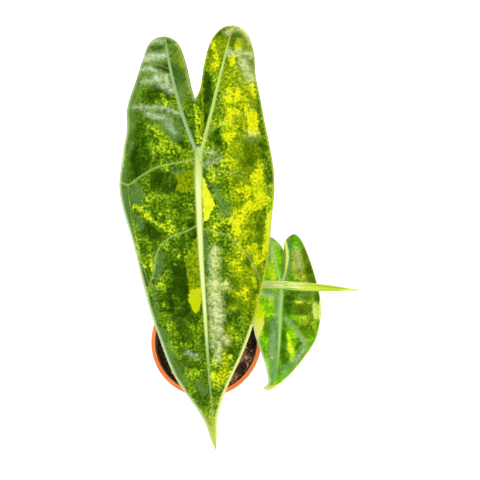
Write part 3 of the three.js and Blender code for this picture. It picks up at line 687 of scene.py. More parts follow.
def blade_faces(leaf, flat, swell, rib, vein, margin):
    """Places of the upper and the lower face.

    Both follow the middle surface, which has a sine wave along the margin and swells between
    the veins. They stand half the thickness off it, less at the rounded edge. A rib's crest
    is a smooth step of the distance from it, and a vein is a groove, deeper below.
    """
    relief = 0.3 + 0.7 * rib_taper(leaf, flat)
    crest = np.clip(1 - rib / 1.3, 0, 1)
    crest = crest * crest * (3 - 2 * crest) * relief
    groove = np.clip(1 - vein / GROOVE_HALF, 0, 1) * np.clip(margin / 4, 0, 1)
    wave = leaf["wave"] * np.clip(np.abs(flat[:, 0]) / 50, 0, 1)
    wave = wave * np.sin(2 * np.pi * flat[:, 1] / leaf["wave_length"] + np.sign(flat[:, 0]))
    edge = np.clip(margin / ROUNDED_EDGE, 0, 1)
    half = leaf["thickness"] / 2 * np.sqrt(0.25 + 0.75 * edge * (2 - edge))
    middle = wave + leaf["quilt"] * swell * np.clip(margin / 5, 0, 1)
    top_lift = middle + half + crest * leaf["rib_top"] - 0.25 * groove
    low_lift = middle - half - crest * leaf["rib_bottom"] - 0.5 * groove
    upper = bend_leaf(leaf, flat[:, 0], flat[:, 1], top_lift)
    lower = bend_leaf(leaf, flat[:, 0], flat[:, 1], low_lift)
    return upper, lower


def fine_blade(name, leaf, marks, material):
    """A whole blade: its upper and lower face, joined by a rounded edge along the border."""
    flat, quads, swell, lines = blade_net(leaf)
    midrib, lobe_rib = rib_distance(leaf, flat, lines)
    rib = np.minimum(midrib, lobe_rib)
    margin = distance_to(flat, lines["margin"])
    collective = distance_to(flat, [catmull(leaf["collective"], COLLECTIVE_STEPS)])
    vein = np.minimum(distance_to(flat, lines["veins"]), collective + 0.2)
    upper, lower = blade_faces(leaf, flat, swell, rib, vein, margin)
    count = len(flat)
    faces = clean_faces(quads)
    all_faces = faces + [tuple(v + count for v in reversed(face)) for face in faces]
    all_faces += [(b, a, a + count, b + count) for a, b in border_edges(faces)]
    tip_y = leaf["midrib"][-1][1]
    values = dict(rib=rib, lobe=lobe_rib < midrib, right=flat[:, 0] > 0, vein=vein, margin=margin,
                  shown=vein_shown(leaf, flat, margin), run=flat[:, 1] / tip_y,
                  warm=patch_depth(flat, leaf["warm"]) / WARM_EDGE)
    for key, (strokes, outlines) in marks.items():
        values[key] = patch_depth(flat, strokes, outlines)
    values = {key: np.tile(data, 2) for key, data in values.items()}
    values["face"] = np.repeat([1.0, 0.0], count)
    place = np.c_[np.tile(flat, (2, 1)), np.repeat([0.0, UNDERSIDE_SHIFT], count)]
    make_piece(name, np.concatenate([upper, lower]), all_faces, material, values=values, flat=place)


# Patches of leaf colour and streaks of painted sheen, as strokes (radius, points) and outlines in flat
# mm.
LARGE_MARKS = dict(
    yellow=([
        (1.4, (11, -78), (14.5, -60)), (1.6, (18, -38), (22, -35)), (1.6, (26, -42), (25, -36)),
        (2, (7, 9), (7, 14)), (1.6, (8, 43), (18, 40)),
        (3.4, (46.4, 20), (45, 40), (42.4, 55), (40.4, 64)), (1.4, (27, 71)), (1.5, (32, 79), (33, 84)),
        (1.6, (22, 88), (27, 85)), (1.5, (13, 80), (13, 84)), (1.3, (34, 90), (33, 100)),
        (1.8, (4, 133), (4, 137)), (1.6, (2, 144), (2, 147)), (1.6, (15, 131)),
        (1.2, (-22, -41), (-20, -34)), (1.4, (5, 6), (9, 6)), (1.2, (-1.2, -34), (-0.6, -10)),
        (0.8, (1.8, -30), (1.2, -12)), (1.4, (35, -44), (36, -38)), (1.5, (24, 22), (29, 20)),
        (1.3, (-21, 41)), (1.2, (-39, 68)), (1.1, (-34, 76)), (1.1, (-43, 56)),
        (1.6, (-43, 29), (-38, 31)), (1.8, (-21, 40), (-19, 43)),
        (1.2, (-35, 34), (-30, 40), (-19, 46)), (1.0, (-16, 62)), (1.0, (-12, 58)), (0.9, (-18, 67)),
        (0.9, (-26, 35)), (2, (-51.6, -8), (-53.2, 4)), (1.3, (-30, 66)), (1.3, (-27, 92), (-24, 95)),
    ], [
        [(27, -80), (32, -80), (30, -71), (25, -70)],
        [(21, -66), (25.5, -66), (24.5, -57), (21, -58)],
        [(30, -31), (38, -30), (39, -20), (38, -12), (31, -12), (32, -20)],
        [(19, -31), (27, -29), (27, -24), (25.5, -18), (22, -11), (18.5, -7), (15, -12), (12.6, -17),
         (14, -22), (18, -25)],
        [(35, 3), (41, 2), (42, 9), (38, 12), (35, 8)],
        [(31, 13), (36, 10), (41, 14), (41, 20), (33, 19)],
        [(24, 36), (27, 30), (35, 27), (34, 22), (29, 27), (26, 25), (30, 20), (37, 18), (44, 20),
         (45, 28), (41, 33), (33, 35)],
        [(18, 40), (26, 37), (27, 40), (24, 44), (24, 50), (22, 50)],
        [(19, -44), (23, -44), (22, -36), (19, -36)],
        [(28, 57), (34, 55), (37, 62), (38, 68), (33, 70), (31, 64), (27, 60)],
    ]),
    crisp=([], [
        [(1, 11), (3.4, 14), (5, 20), (7.6, 26), (9, 30), (6.2, 34), (4.6, 38), (1, 42)],
        [(-10.5, 84), (-3, 83), (-3, 93), (-6, 101), (-9.5, 97), (-11, 91)],
        [(47, 34), (42.8, 37), (41.6, 46), (40.4, 54), (40.6, 59), (44, 56), (48, 38)],
    ]),
    olive=([
        (0.9, (3.8, -50), (3.4, -35), (2.2, -15)), (1.4, (-12, -76), (-9, -60)),
        (1, (-8, -60), (-5, -42)), (2.4, (42.5, -40), (46, -8)), (2, (33, 96), (30, 110)),
        (1.2, (7, -68), (6, -58)),
    ], [
        [(14, -82), (20, -78), (20, -70), (15, -66), (13, -72)],
        [(30, -80), (35, -78), (36, -71), (30, -71)],
        [(-17, 9), (-3, 7), (-3, 22), (-16, 21), (-14, 15)],
        [(-12, 63), (-8, 60), (-7, 52), (-3, 50), (-3, 85), (-10, 85), (-11, 75)],
        [(22, -26), (28, -26), (28, -20), (24, -18)],
        [(15, -56), (20, -56), (18, -44), (14, -40)],
    ]),
    dark=([
        (2.2, (12, -15), (13, -9)), (2.4, (26, 5), (34, 5)), (3, (30, 44), (36, 46)),
        (2.6, (31, 52), (36, 54)), (1.8, (-27, -74), (-23, -74)), (2.6, (-27, -59), (-21, -59)),
        (3, (-32, -41), (-20, -40)), (2.2, (-41, 54), (-38, 60)), (1.4, (38, 48), (36, 60)),
        (1.8, (35, 72), (33, 88)), (3.4, (-20, 103), (-12, 118)), (2.6, (10, 120), (13, 126)),
        (2, (-13, -12), (-9, -8)), (2, (25, 6), (22, 16)), (2.6, (14, 90), (22, 96)),
        (2.2, (18, 78), (20, 84)), (2, (22, 100), (20, 112)), (2.2, (-35, 108), (-32, 118)),
        (2.4, (-7, 42), (-6, 55)), (1.8, (28, 66), (29, 72)), (2.2, (6.5, -50), (5.5, -34), (3.8, -18)),
    ], [
        [(-40, -24), (-33, -24), (-31, 0), (-34, 8), (-42, 12), (-45, 0)],
        [(-31, 8), (-20, 8), (-14, 13), (-15, 20), (-22, 23), (-32, 20)],
        [(5, -56), (10, -52), (9, -35), (5, -14), (3, -12), (3.6, -30), (4.6, -45)],
        [(28, -9), (41, -9), (42, 3), (36, 7), (28, 5)],
        [(24, -87), (28, -80), (24, -72), (21, -76)],
        [(-40, 38), (-34, 40), (-27, 46), (-26, 52), (-34, 50), (-40, 46)],
        [(-21, 65), (-12, 63), (-11, 85), (-11, 100), (-20, 102), (-21, 82)],
        [(-31, 82), (-20, 82), (-20, 100), (-30, 98)],
        [(31, 36), (41, 33), (42, 40), (36, 43), (30, 41)],
    ]),
    grey=([
        (1.6, (-17, 8), (-12, 8)), (4, (-19, -22), (-14, -14)), (1.6, (2, 50), (3, 76)),
        (1.4, (-32, 72), (-32.5, 104)), (1.5, (-31, 110), (-25, 130), (-18, 148)),
        (2.2, (31, -10.5), (38, -10.5)), (2, (-8, 150), (-4, 158)), (2.4, (5, 4), (12, 0)),
        (2.4, (-50, 20), (-48, 44)),
    ], [
        [(6, 17), (11, 19), (15, 28), (19, 32), (19, 37), (12, 38), (10, 27)],
        [(-47, 18), (-40, 13), (-36, 22), (-39, 29), (-44, 27)],
        [(-44, 34), (-39, 36), (-36.5, 43), (-41, 46)],
        [(-31, 58), (-26, 60), (-25.5, 70), (-30, 79), (-32.5, 70)],
        [(26, -64), (37, -64), (38, -50), (30, -48), (27, -54)],
    ]),
    # Painted sheen: streaks of pale colour where the lamp's reflection off the waxy blade is painted in.
    silver=([
        (2.6, (7.4, 59), (6.8, 68)), (1.6, (5.8, 70), (6, 78)), (3.6, (6.8, 80), (6, 85)),
        (4.4, (6.4, 90), (6.4, 94)), (4.2, (6.8, 99), (7.2, 104)), (3, (6.4, 109), (7.4, 114)),
        (2, (11, 118), (12.5, 120)), (1.6, (8, 121), (5.5, 134)), (0.7, (4, 106), (5, 128)),
        (1, (13, 80), (14, 84)), (2.6, (-33, -68), (-21, -68)), (1.2, (-30, -80), (-23, -79)),
        (1.0, (3.2, 78), (3.6, 124)), (1.1, (-36, -60), (-30, -60), (-19, -51)),
        (2.3, (-26, -52), (-17, -44)), (0.9, (-34, -50.5), (-20, -50)),
        (0.5, (-40, -33.5), (-20, -32), (-12, -28)), (0.8, (-32, -28.5), (-18, -25)),
        (0.4, (-20, -22), (-15, -16)), (2, (22, -68.5), (36, -67)), (2.4, (30, -62), (35, -50)),
        (1.3, (21, -84), (26, -88), (33, -86), (36.5, -77)), (0.5, (31, -14.5), (38, -13.5)),
        (0.3, (4, -3), (10, -3)), (0.3, (5, 4), (13, 2)), (0.2, (-14, 127), (-8, 131)),
    ], []),
    pale=([
        (2.2, (30.2, 112), (22.6, 131), (13.1, 152), (8.6, 163), (4.6, 178), (3, 200)),
        (1.6, (31, -88), (35, -84)),
    ], []),
    smooth=([
        (6, (-36, -72), (-43, -45), (-48, -10)), (4.5, (-12, -76), (-9, -40)),
        (6, (-27, -74), (-28, -50)), (5, (-27, -27), (-16, -20)), (3, (-50, 0), (-52, 20), (-48, 48)),
        (1.6, (-30, 112), (-16, 148)), (4, (28, -84), (34, -72)),
    ], []),
    lime=([
        (4, (30, 40), (30, 52)), (4.5, (-25, -10), (-6, -3)), (2.5, (-14, 3), (-7, 2)),
        (2.5, (-24, 3), (-18, 10)), (2.4, (-44, 30), (-38, 31)), (3.2, (-36, 35), (-26, 42), (-19, 46)),
        (3, (-32, 24), (-24, 22)), (3, (-22, 54), (-15, 66)), (3.4, (-38, 62), (-33, 74)),
        (3.4, (-30, 78), (-26, 90)), (2.6, (-20, 88), (-17, 96)), (3, (-44, 52), (-42, 66)),
        (1.6, (-13, 66)), (4, (5, -8), (16, 2)), (4, (6, 46), (8, 58)), (3, (10, 12), (18, 14)),
        (2.6, (19, -52), (15.5, -36), (10.5, -18)), (2.2, (2, 16), (2.5, 8), (8, 5)),
        (3, (12, 24), (22, 22)), (3, (20, 4), (24, 10)), (3, (5, 41), (20, 36)),
        (3.5, (16, 50), (25, 62)), (1.6, (16, 64), (24, 72)), (2.6, (24, 92), (14, 100)),
        (3.5, (12, -58), (20, -32)), (3.4, (22, -42), (30, -34)), (2.6, (1, 165), (1, 196)),
        (2.4, (30, -50), (36, -42)), (5, (6, 130), (4, 152)), (4, (15, 134), (8, 150)),
        (4, (-22, 108), (-24, 122)), (2.2, (-8, 142), (-17, 142)), (2, (-50, -6), (-51, 4)),
        (3.4, (20, 106), (20, 116)), (3, (-8, 26), (-10, 36)),
    ], [
        [(-34, -24), (-24, -22), (-22, -8), (-30, 0), (-34, -10)],
    ]),
)
SMALL_MARKS = dict(
    yellow=([
        (1.4, (6.5, 36), (9, 46)), (2.2, (10, 50), (12.5, 60)), (0.6, (13, 22), (20, 21)),
        (1.0, (12, 9), (18, 8)), (0.8, (11, -30), (13, -12)), (1.0, (16, -18), (17, -12)),
        (1.0, (8, 40), (9, 44)), (0.6, (27, 26), (24, 32)), (3.2, (29.5, 11), (31, 21)),
    ], []),
    crisp=([], [
        [(-21, 12), (-16.5, 13), (-14, 20), (-14.4, 27), (-16, 36), (-20, 45), (-25, 36), (-24, 20)],
    ]),
    olive=([
        (2.8, (12, -33), (14.5, -14)),
    ], []),
    dark=([
        (4, (6, 3), (22, 4)), (4.5, (7, 14), (22, 15)), (5, (21, -34), (27, -8)),
        (1.8, (3.4, 26), (3.6, 60)), (3.4, (5, 60), (8, 66)), (3, (-12, 28), (-10.5, 36)),
        (3, (24, 30), (27, 36)), (2, (15, 48), (18, 44)), (3, (30, 0), (32, 8)),
        (2.4, (9, 26), (12, 27)), (3, (-13, 24), (-9, 23)), (2.6, (18, 30), (24, 38)),
        (2.2, (-16, 46), (-13, 58)), (3, (-8, 44), (-7, 64)),
    ], [
        [(-2.4, -40), (1.4, -34), (1.9, -12), (-1, -12)],
    ]),
    grey=([
        (3.6, (-5, 24), (-5.5, 50), (-3.5, 76)), (2.4, (-14, 1), (-4, 3)), (2.2, (-5, 3), (-4.4, 18)),
        (1.8, (20, 50), (13, 64), (2, 68)), (2, (0, 74), (-5, 84)), (2.2, (24, 46), (20, 54)),
        (1.2, (5, -42), (6.4, -30), (6, -16)), (1.6, (5, 23), (14, 33), (23, 46)),
        (2.4, (-13, -42), (-13, -26)), (1.2, (16, 3), (28, 1)),
    ], []),
    # Painted sheen: streaks of pale colour where the lamp's reflection off the waxy blade is painted in.
    silver=([
        (0.3, (4, 23), (14, 34), (22, 45)), (1.0, (-1.5, 4), (-2, 26)), (0.6, (22, 50), (15, 60)),
        (0.6, (28, 11), (31, 22)), (1.8, (12, -35), (14, -20)), (1.2, (-16, 2), (-8, 5)),
        (1.0, (-9, -40), (-8, -26)), (0.4, (-6, 36), (-6, 58)),
    ], []),
    pale=([
        (1.2, (2.2, -42), (3.6, -35), (4.2, -27), (3.6, -18), (1.6, -8)),
        (1.2, (15, 72), (5, 83.5), (-4, 89.5), (-10, 90)), (0.8, (34, 8), (34.8, 24)),
    ], []),
    smooth=([
        (3, (-5, 26), (-4, 78)), (2, (-13, -42), (-10, -38)), (3, (20, 50), (6, 74)),
        (1, (5, -43), (6, -38)),
    ], []),
    lime=([
        (7, (-14, 8), (-11, 18)), (6, (-12, 10), (-10, 16)), (4, (-13, -32), (-9, -12)),
        (3.4, (9, 36), (12, 54)), (3.6, (11, -38), (12, -14)), (1.8, (-8, 60), (-6.5, 80)),
        (2.4, (13, 22), (22, 22)),
    ], []),
)


# Screen colours that both blades share.
OLIVE_DARK = linear(98, 130, 2)
OLIVE_LIGHT = linear(160, 178, 8)
# Painted sheen: the pale tones of the painted reflection on the left and the right half.
PAINTED_SHEEN_LEFT = linear(220, 236, 186)
PAINTED_SHEEN_RIGHT = linear(234, 244, 164)
VEIN_GREEN = linear(172, 202, 104)
EDGE_LEFT = linear(206, 228, 166)
EDGE_RIGHT = linear(204, 216, 72)
RIB_FOOT = linear(196, 220, 118)
RIB_FAR = linear(166, 196, 112)
RIB_SIDE = linear(150, 182, 92)
TIP_GREEN = linear(202, 222, 90)
UNDERSIDE = linear(158, 184, 104)
UNDERSIDE_VEIN = linear(196, 214, 134)

# How each blade looks. base is its middle level between dark green, 0, and yellow, 1, and
# left_lift is added on the left half. grain is the strength of the fine speckle, and the key
# after it that of the painted sheen, pale streaks that stand in for the lamp's reflection off
# the waxy blade. vein_reach is a side vein's half width in mm and vein_share how clear it is.
# The pale tip starts at tip_from of the length. cool and warm are the scales of (level, screen
# colour), and the rest are the screen colours of single areas.
LARGE_LOOK = dict(
    base=0.36, left_lift=0.0, grain=1.0, painted_sheen_strength=0.62, vein_reach=1.1, vein_share=0.55, tip_from=0.79,
    cool=[(0.0, (34, 62, 0)), (0.14, (48, 80, 2)), (0.3, (68, 104, 6)), (0.42, (90, 128, 12)),
          (0.54, (116, 152, 18)), (0.7, (154, 186, 26)), (0.86, (200, 220, 30)), (1.0, (230, 238, 40))],
    warm=[(0.0, (62, 92, 0)), (0.2, (90, 118, 2)), (0.4, (120, 148, 12)), (0.56, (150, 174, 14)),
          (0.7, (186, 202, 10)), (0.86, (220, 224, 8)), (1.0, (232, 236, 26))],
    deep=linear(70, 112, 34), plain=linear(104, 142, 66), grey=linear(92, 130, 62),
    left_rib=linear(156, 186, 128), right_rib=linear(192, 216, 110), midrib=linear(236, 247, 158),
    pale=linear(232, 240, 142), crisp=linear(216, 230, 26), bright=linear(238, 243, 54),
    lower=linear(198, 210, 8),
)
# Painted light: the small blade's colours are set lighter than the large one's, pale even past white, to
# make up for the shade that the large blade casts on it.
SMALL_LOOK = dict(
    base=0.44, left_lift=0.22, grain=0.5, painted_sheen_strength=0.5, vein_reach=1.7, vein_share=0.2, tip_from=0.93,
    cool=[(0.0, (48, 86, 4)), (0.2, (78, 122, 10)), (0.4, (100, 160, 18)), (0.56, (120, 196, 16)),
          (0.7, (148, 224, 14)), (0.86, (194, 244, 20)), (1.0, (238, 254, 44))],
    warm=[(0.0, (60, 90, 4)), (0.2, (82, 114, 8)), (0.4, (104, 140, 12)), (0.56, (140, 174, 24)),
          (0.7, (180, 206, 40)), (0.86, (216, 230, 80)), (1.0, (236, 242, 110))],
    deep=linear(96, 146, 80), plain=linear(132, 180, 112), grey=linear(106, 152, 92),
    left_rib=linear(180, 240, 120), right_rib=linear(130, 176, 90), midrib=linear(182, 232, 134),
    pale=linear(262, 280, 150), crisp=linear(206, 240, 0), bright=linear(240, 252, 20),
    lower=linear(255, 255, 110),
)


def rib_tones(skin, look, run, rib, right):
    """Colour of the midrib, which darkens toward the tip and its sides, and of the lobe ribs."""
    tone = skin.blend(run.ramp(0.0, 0.1), RIB_FOOT, look["midrib"])
    tone = skin.blend(run.ramp(0.45, 0.68), tone, RIB_FAR)
    tone = skin.blend(rib.ramp(0.35, 0.9) * 0.7, tone, RIB_SIDE)
    lobe_tone = skin.blend(right, look["left_rib"], look["right_rib"])
    return skin.blend(skin.attribute("lobe"), tone, lobe_tone)


def leaf_material(name, look):
    """Variegated leaf: speckled greens, yellow and olive sectors, pale ribs and edge.

    A level runs from dark green to yellow along the cool and warm colour scales. It varies
    in sectors and in fine grain round the look's base, and the marked patches raise or lower
    it. Calm areas have little grain and their own plain greens. Streaks of painted sheen, pale
    colour for the lamp's reflection off the waxy blade, lie over the patches. Ribs, veins, edge
    and tip lie over it all, and the lower face is the same, paler.
    """
    skin = Skin(name)
    place = skin.attribute("flat", "Vector")
    fine = skin.noise(place, 0.6, 2.0, 0.6)
    other = skin.noise(skin.scaled(place, EVEN, (31, 7, 3)), 0.3, 3.0, 0.6)
    broad = skin.noise(skin.scaled(place, EVEN, (5, 60, 9)), 0.1, 2.0, 0.6)
    sector = skin.cell_tone(skin.warped(place, 0.3, 9.0), 0.15)
    ragged = (fine - 0.5) * 5.0 + (other - 0.5) * 9.0

    def inside(key, rough=1.0, width=0.35):
        """1 inside the patches of a kind, 0 outside; rough is how ragged their edge is."""
        return (skin.attribute(key) + ragged * rough).ramp(-width, width)

    rib = skin.attribute("rib")
    run = skin.attribute("run")
    right = skin.attribute("right")
    vein = skin.attribute("vein")
    shaded = inside("dark", 0.7, 1.2)
    solid = inside("yellow", 0.45, 0.6)
    calm = skin.attribute("smooth").ramp(-3.0, 3.0) * (1 - shaded * 0.6)
    side = (skin.attribute("warm") + (broad - 0.5) * 0.8).ramp(0.1, 0.8)

    level = look["base"] + side * 0.1 + (1 - right) * look["left_lift"]
    level = level + (broad - 0.5) * 0.35 + (sector - 0.5) * 0.42
    level = level + inside("lime", 0.8, 1.5) * 0.15 - shaded * 0.24 + solid * 0.36
    speckle = (fine - 0.5) * (level * 2.3 + 0.4) * (1 - calm * 0.7) * (1 - solid * 0.3)
    level = level + speckle * look["grain"]
    tone = skin.blend(side, skin.colour_scale(level, look["cool"]),
                 skin.colour_scale(level, look["warm"]))

    plain = skin.blend(broad.ramp(0.35, 0.65), look["deep"], look["plain"])
    tone = skin.blend(calm * 0.6, tone, plain)
    olive = skin.blend((other * 0.5 + fine).ramp(0.6, 0.9), OLIVE_DARK, OLIVE_LIGHT)
    tone = skin.blend(inside("olive", 0.5) * 0.8, tone, olive)
    tone = skin.blend(inside("grey", 0.7, 1.2) * 0.65, tone, look["grey"])
    crisp = skin.blend((other + fine * 0.4).ramp(0.55, 0.85), look["crisp"], look["bright"])
    crisp = skin.blend(run.ramp(0.2, 0.36), crisp, look["lower"])
    tone = skin.blend(inside("crisp", 0.36), tone, crisp)
    # Painted sheen: pale streaks that stand in for the lamp's reflection off the waxy blade, broken up by
    # the noise.
    painted_sheen_strength = (fine - 0.5) * 0.9 + (other - 0.5) * 1.4 + look["painted_sheen_strength"]
    silver = skin.blend(right, PAINTED_SHEEN_LEFT, PAINTED_SHEEN_RIGHT)
    tone = skin.blend(inside("silver", 0.4, 3.2) * painted_sheen_strength, tone, silver)

    vein_share = vein.ramp(look["vein_reach"], 0.2) * skin.attribute("shown") * look["vein_share"]
    tone = skin.blend(vein_share, tone, VEIN_GREEN)
    edge_share = skin.attribute("margin").ramp(2.8 - right, 0.5) * run.ramp(-0.25, 0.05, 0.35, 0.8)
    tone = skin.blend(edge_share, tone, skin.blend(right, EDGE_LEFT, EDGE_RIGHT))
    tone = skin.blend(inside("pale", 0.12, 0.8) * 0.9, tone, look["pale"])
    rib_share = run.ramp(0.5, 0.85, 1.0, 0.5) * run.ramp(-0.44, -0.3, 0.15, 1.0)
    tone = skin.blend(rib.ramp(1.2, 0.5) * rib_share, tone, rib_tones(skin, look, run, rib, right))
    tip_share = run.ramp(look["tip_from"], look["tip_from"] * 0.3 + 0.7) * 0.7
    tone = skin.blend(tip_share, tone, TIP_GREEN)
    under = skin.blend(0.62, tone, UNDERSIDE)
    under = skin.blend(vein.ramp(GROOVE_HALF, 0.5) * 0.6, under, UNDERSIDE_VEIN)
    tone = skin.blend(skin.attribute("face").ramp(0.4, 0.6), under, tone)

    net = skin.cell_border(place, 0.32).ramp(0.0, 0.12)
    return skin.finish(tone, (fine - 0.5) * 0.2 + 0.42, LEAF_GLOSS, net + fine * 0.35, 0.00012)


# Stalks, sheaths and the rolled leaf


def tube(line, radius_at, sides):
    """Closed tube round a line in mm; radius_at(share, angle) is its section.

    Each ring lies square to the line, turned as little as it can be from the ring before it.
    Returns points, faces, and for each point its angle, share of length and length in mm.
    """
    tangent = np.gradient(line, axis=0)
    tangent /= np.linalg.norm(tangent, axis=1)[:, None]
    across = np.cross(tangent[0], (0.0, -1.0, 0.0))
    angle = ring_angles(sides)
    lengths = run_length(line)
    shares = lengths / lengths[-1]
    rings = []
    for centre, ahead, share in zip(line, tangent, shares):
        across = across - ahead * (across @ ahead)
        across = across / np.linalg.norm(across)
        up = np.cross(ahead, across)
        radius = radius_at(share, angle)
        rings.append(centre + (radius * np.cos(angle))[:, None] * across
                     + (radius * np.sin(angle))[:, None] * up)
    index = np.arange(len(line) * sides).reshape(len(line), sides)
    faces = [*closed_quads(index), index[0][::-1], index[-1]]
    turns = np.tile(angle, len(line))
    return np.concatenate(rings), faces, turns, np.repeat(shares, sides), lengths[-1]


def spread(values, share):
    """A value that runs evenly through a list as share goes from 0 to 1."""
    return np.interp(share, np.linspace(0, 1, len(values)), values)


def sheath(rings, slant, wall, slit, slit_half, sides=72, steps=48):
    """Open sheath: a thin wall wrapped round the next stalk, slit along one side.

    rings are centre and half widths, slit is the slit's direction and slit_half its half
    angle. The wall thins upward and toward the slit's lips, and its top rises along the slant
    by the square of the share of the height.
    """
    path = catmull([ring[:3] for ring in rings], 16)
    angle = slit + np.linspace(slit_half, 2 * np.pi - slit_half, sides)
    lip = np.clip(np.minimum(angle - angle[0], angle[-1] - angle) / 0.5, 0, 1)
    shares = np.linspace(0, 1, steps)
    centre = along(path, shares)[:, None, :]
    half_x = spread([ring[3] for ring in rings], shares)[:, None]
    half_y = spread([ring[4] for ring in rings], shares)[:, None]
    share = shares[:, None]
    shells = []
    for thick in (0.0, wall):
        depth = thick * (0.35 + 0.65 * lip) * (1 - 0.35 * share)
        x = (half_x - depth) * np.cos(angle)
        y = (half_y - depth) * np.sin(angle)
        lift = share ** 2 * (x * slant[0] + y * slant[1])
        shells.append(centre + np.stack([x, y, lift], axis=-1))
    outer = np.arange(steps * sides).reshape(steps, sides)
    inner = outer + steps * sides
    walls = closed_quads(np.concatenate([outer, inner[:, ::-1]], axis=1))
    foot = grid_quads(np.stack([inner[0], outer[0]]))
    top = grid_quads(np.stack([outer[-1], inner[-1]]))
    return np.concatenate(shells).reshape(-1, 3), [*walls, *foot, *top]


def stalk_material(name, base, pale, line_tone):
    """Fleshy stalk: pale and green streaks along it, fine darker lines, soft gloss."""
    skin = Skin(name)
    place = skin.attribute("flat", "Vector")
    streak = skin.noise(skin.scaled(place, (1.0, 1.0, 0.02)), 0.9, 3.0)
    lines = skin.noise(skin.scaled(place, (1.0, 1.0, 0.012), (9, 4, 2)), 2.6, 2.0)
    cloud = skin.noise(place, 0.12, 2.0)
    tone = skin.blend((streak + (cloud - 0.5) * 0.5).ramp(0.35, 0.65), linear(*base), linear(*pale))
    tone = skin.blend(lines.ramp(0.58, 0.64), tone, linear(*line_tone))
    return skin.finish(tone, (cloud - 0.5) * 0.2 + 0.42, 0.4, streak + lines * 0.4, 0.0002)


def stalk_place(points, line):
    """Pattern place of a stalk's points: offset from its line across, run along it."""
    knots = line[::4]
    gaps = np.linalg.norm(points[:, None, :] - knots[None], axis=2)
    nearest = gaps.argmin(axis=1)
    offset = points - knots[nearest]
    return np.c_[offset[:, 0], offset[:, 1], run_length(line)[::4][nearest]]


# Paths of the stalks, from foot to blade, with radii spread evenly along them, as in the CAD.
LARGE_PETIOLE_PATH = [(0, 3.5, 80), (0.5, 14, 112), (1.5, 31, 155), (3.5, 53, 208), (5.4, 71, 262),
                      (6.3, 77.5, 299.4)]
LARGE_PETIOLE_RADII = [5.6, 5.0, 4.3, 3.7, 3.4, 3.6]
SMALL_PETIOLE_PATH = [(7.6, 1, 80), (10.4, 4.6, 98), (19.5, 9, 117), (38, 15.6, 136), (57, 22.6, 149),
                      (65.4, 25.9, 156), (67.1, 26.5, 162.6)]
SMALL_PETIOLE_RADII = [4, 3.8, 3.2, 2.7, 2.5, 2.4, 2.4]
NEW_LEAF_PATH = [(0.5, -4.4, 83), (1.4, 2.4, 104), (3.4, 11.4, 131), (11, 18, 158), (29, 20.2, 188),
                 (50.2, 17.2, 216), (75.2, 5.4, 254), (100.7, -9.2, 300)]
NEW_LEAF_RADII = [2.6, 2.7, 2.7, 2.7, 2.9, 3.0, 2.5, 0.5]

# Sheath rings: centre, half width across and half width front to back.
LARGE_SHEATH = [(0.5, -4.4, 81, 4.5, 4.5), (1.4, 2.4, 104, 4.8, 4.9), (2.2, 7.2, 118, 4.5, 4.7),
                (3.4, 11.4, 131, 4, 4.2)]
SMALL_SHEATH = [(0.9, 0.2, 81, 8.6, 10.7), (1, 4.9, 97, 8.1, 10.7), (2, 9.8, 112, 7.2, 9.9)]

PETIOLE_SIDES = 48
NEW_LEAF_SIDES = 96


def make_petiole(name, path, radii, sheath_parts, material, groove):
    """A leaf stalk with its sheath; groove is the depth of the shallow channel on its face."""
    line = catmull(path, 24)

    def section(share, angle):
        """Even radius less a bell-shaped groove."""
        return spread(radii, share) - groove * np.exp(-((angle - np.pi / 2) / 0.35) ** 2)

    points, faces, _, _, _ = tube(line, section, PETIOLE_SIDES)
    points, faces = join_meshes([(points, faces), sheath_parts])
    make_piece(name, points, faces, material, flat=stalk_place(points, line))


def wrap_turn(angle, share):
    """Share of a turn round the rolled leaf, 0 to 1, which drifts a little along it."""
    return (angle / (2 * np.pi) + 0.3 + 0.12 * share) % 1.0


def make_new_leaf(material):
    """The rolled new leaf: one edge of the blade overlaps the other in a long spiral step."""
    line = catmull(NEW_LEAF_PATH, 28)

    def section(share, angle):
        """Radius that grows round the turn, with a step at its end and a groove half way."""
        rolled = np.clip((share - 0.36) / 0.1, 0, 1)
        turn = wrap_turn(angle, share)
        radius = spread(NEW_LEAF_RADII, share)
        step = 0.5 * rolled * (turn - 0.5) * min(1.0, radius / 2)
        return radius + step - 0.12 * rolled * np.exp(-((turn - 0.5) / 0.03) ** 2)

    points, faces, turn, share, length = tube(line, section, NEW_LEAF_SIDES)
    mean_radius = 2.7
    place = np.c_[mean_radius * np.cos(turn), mean_radius * np.sin(turn), share * length]
    low_side = (points - np.repeat(line, NEW_LEAF_SIDES, axis=0)) @ np.array([0, -0.94, -0.34])
    values = dict(along=share, wrap=wrap_turn(turn, share), low=low_side / 3)
    make_piece("new_leaf", points, faces, material, values=values, flat=place)


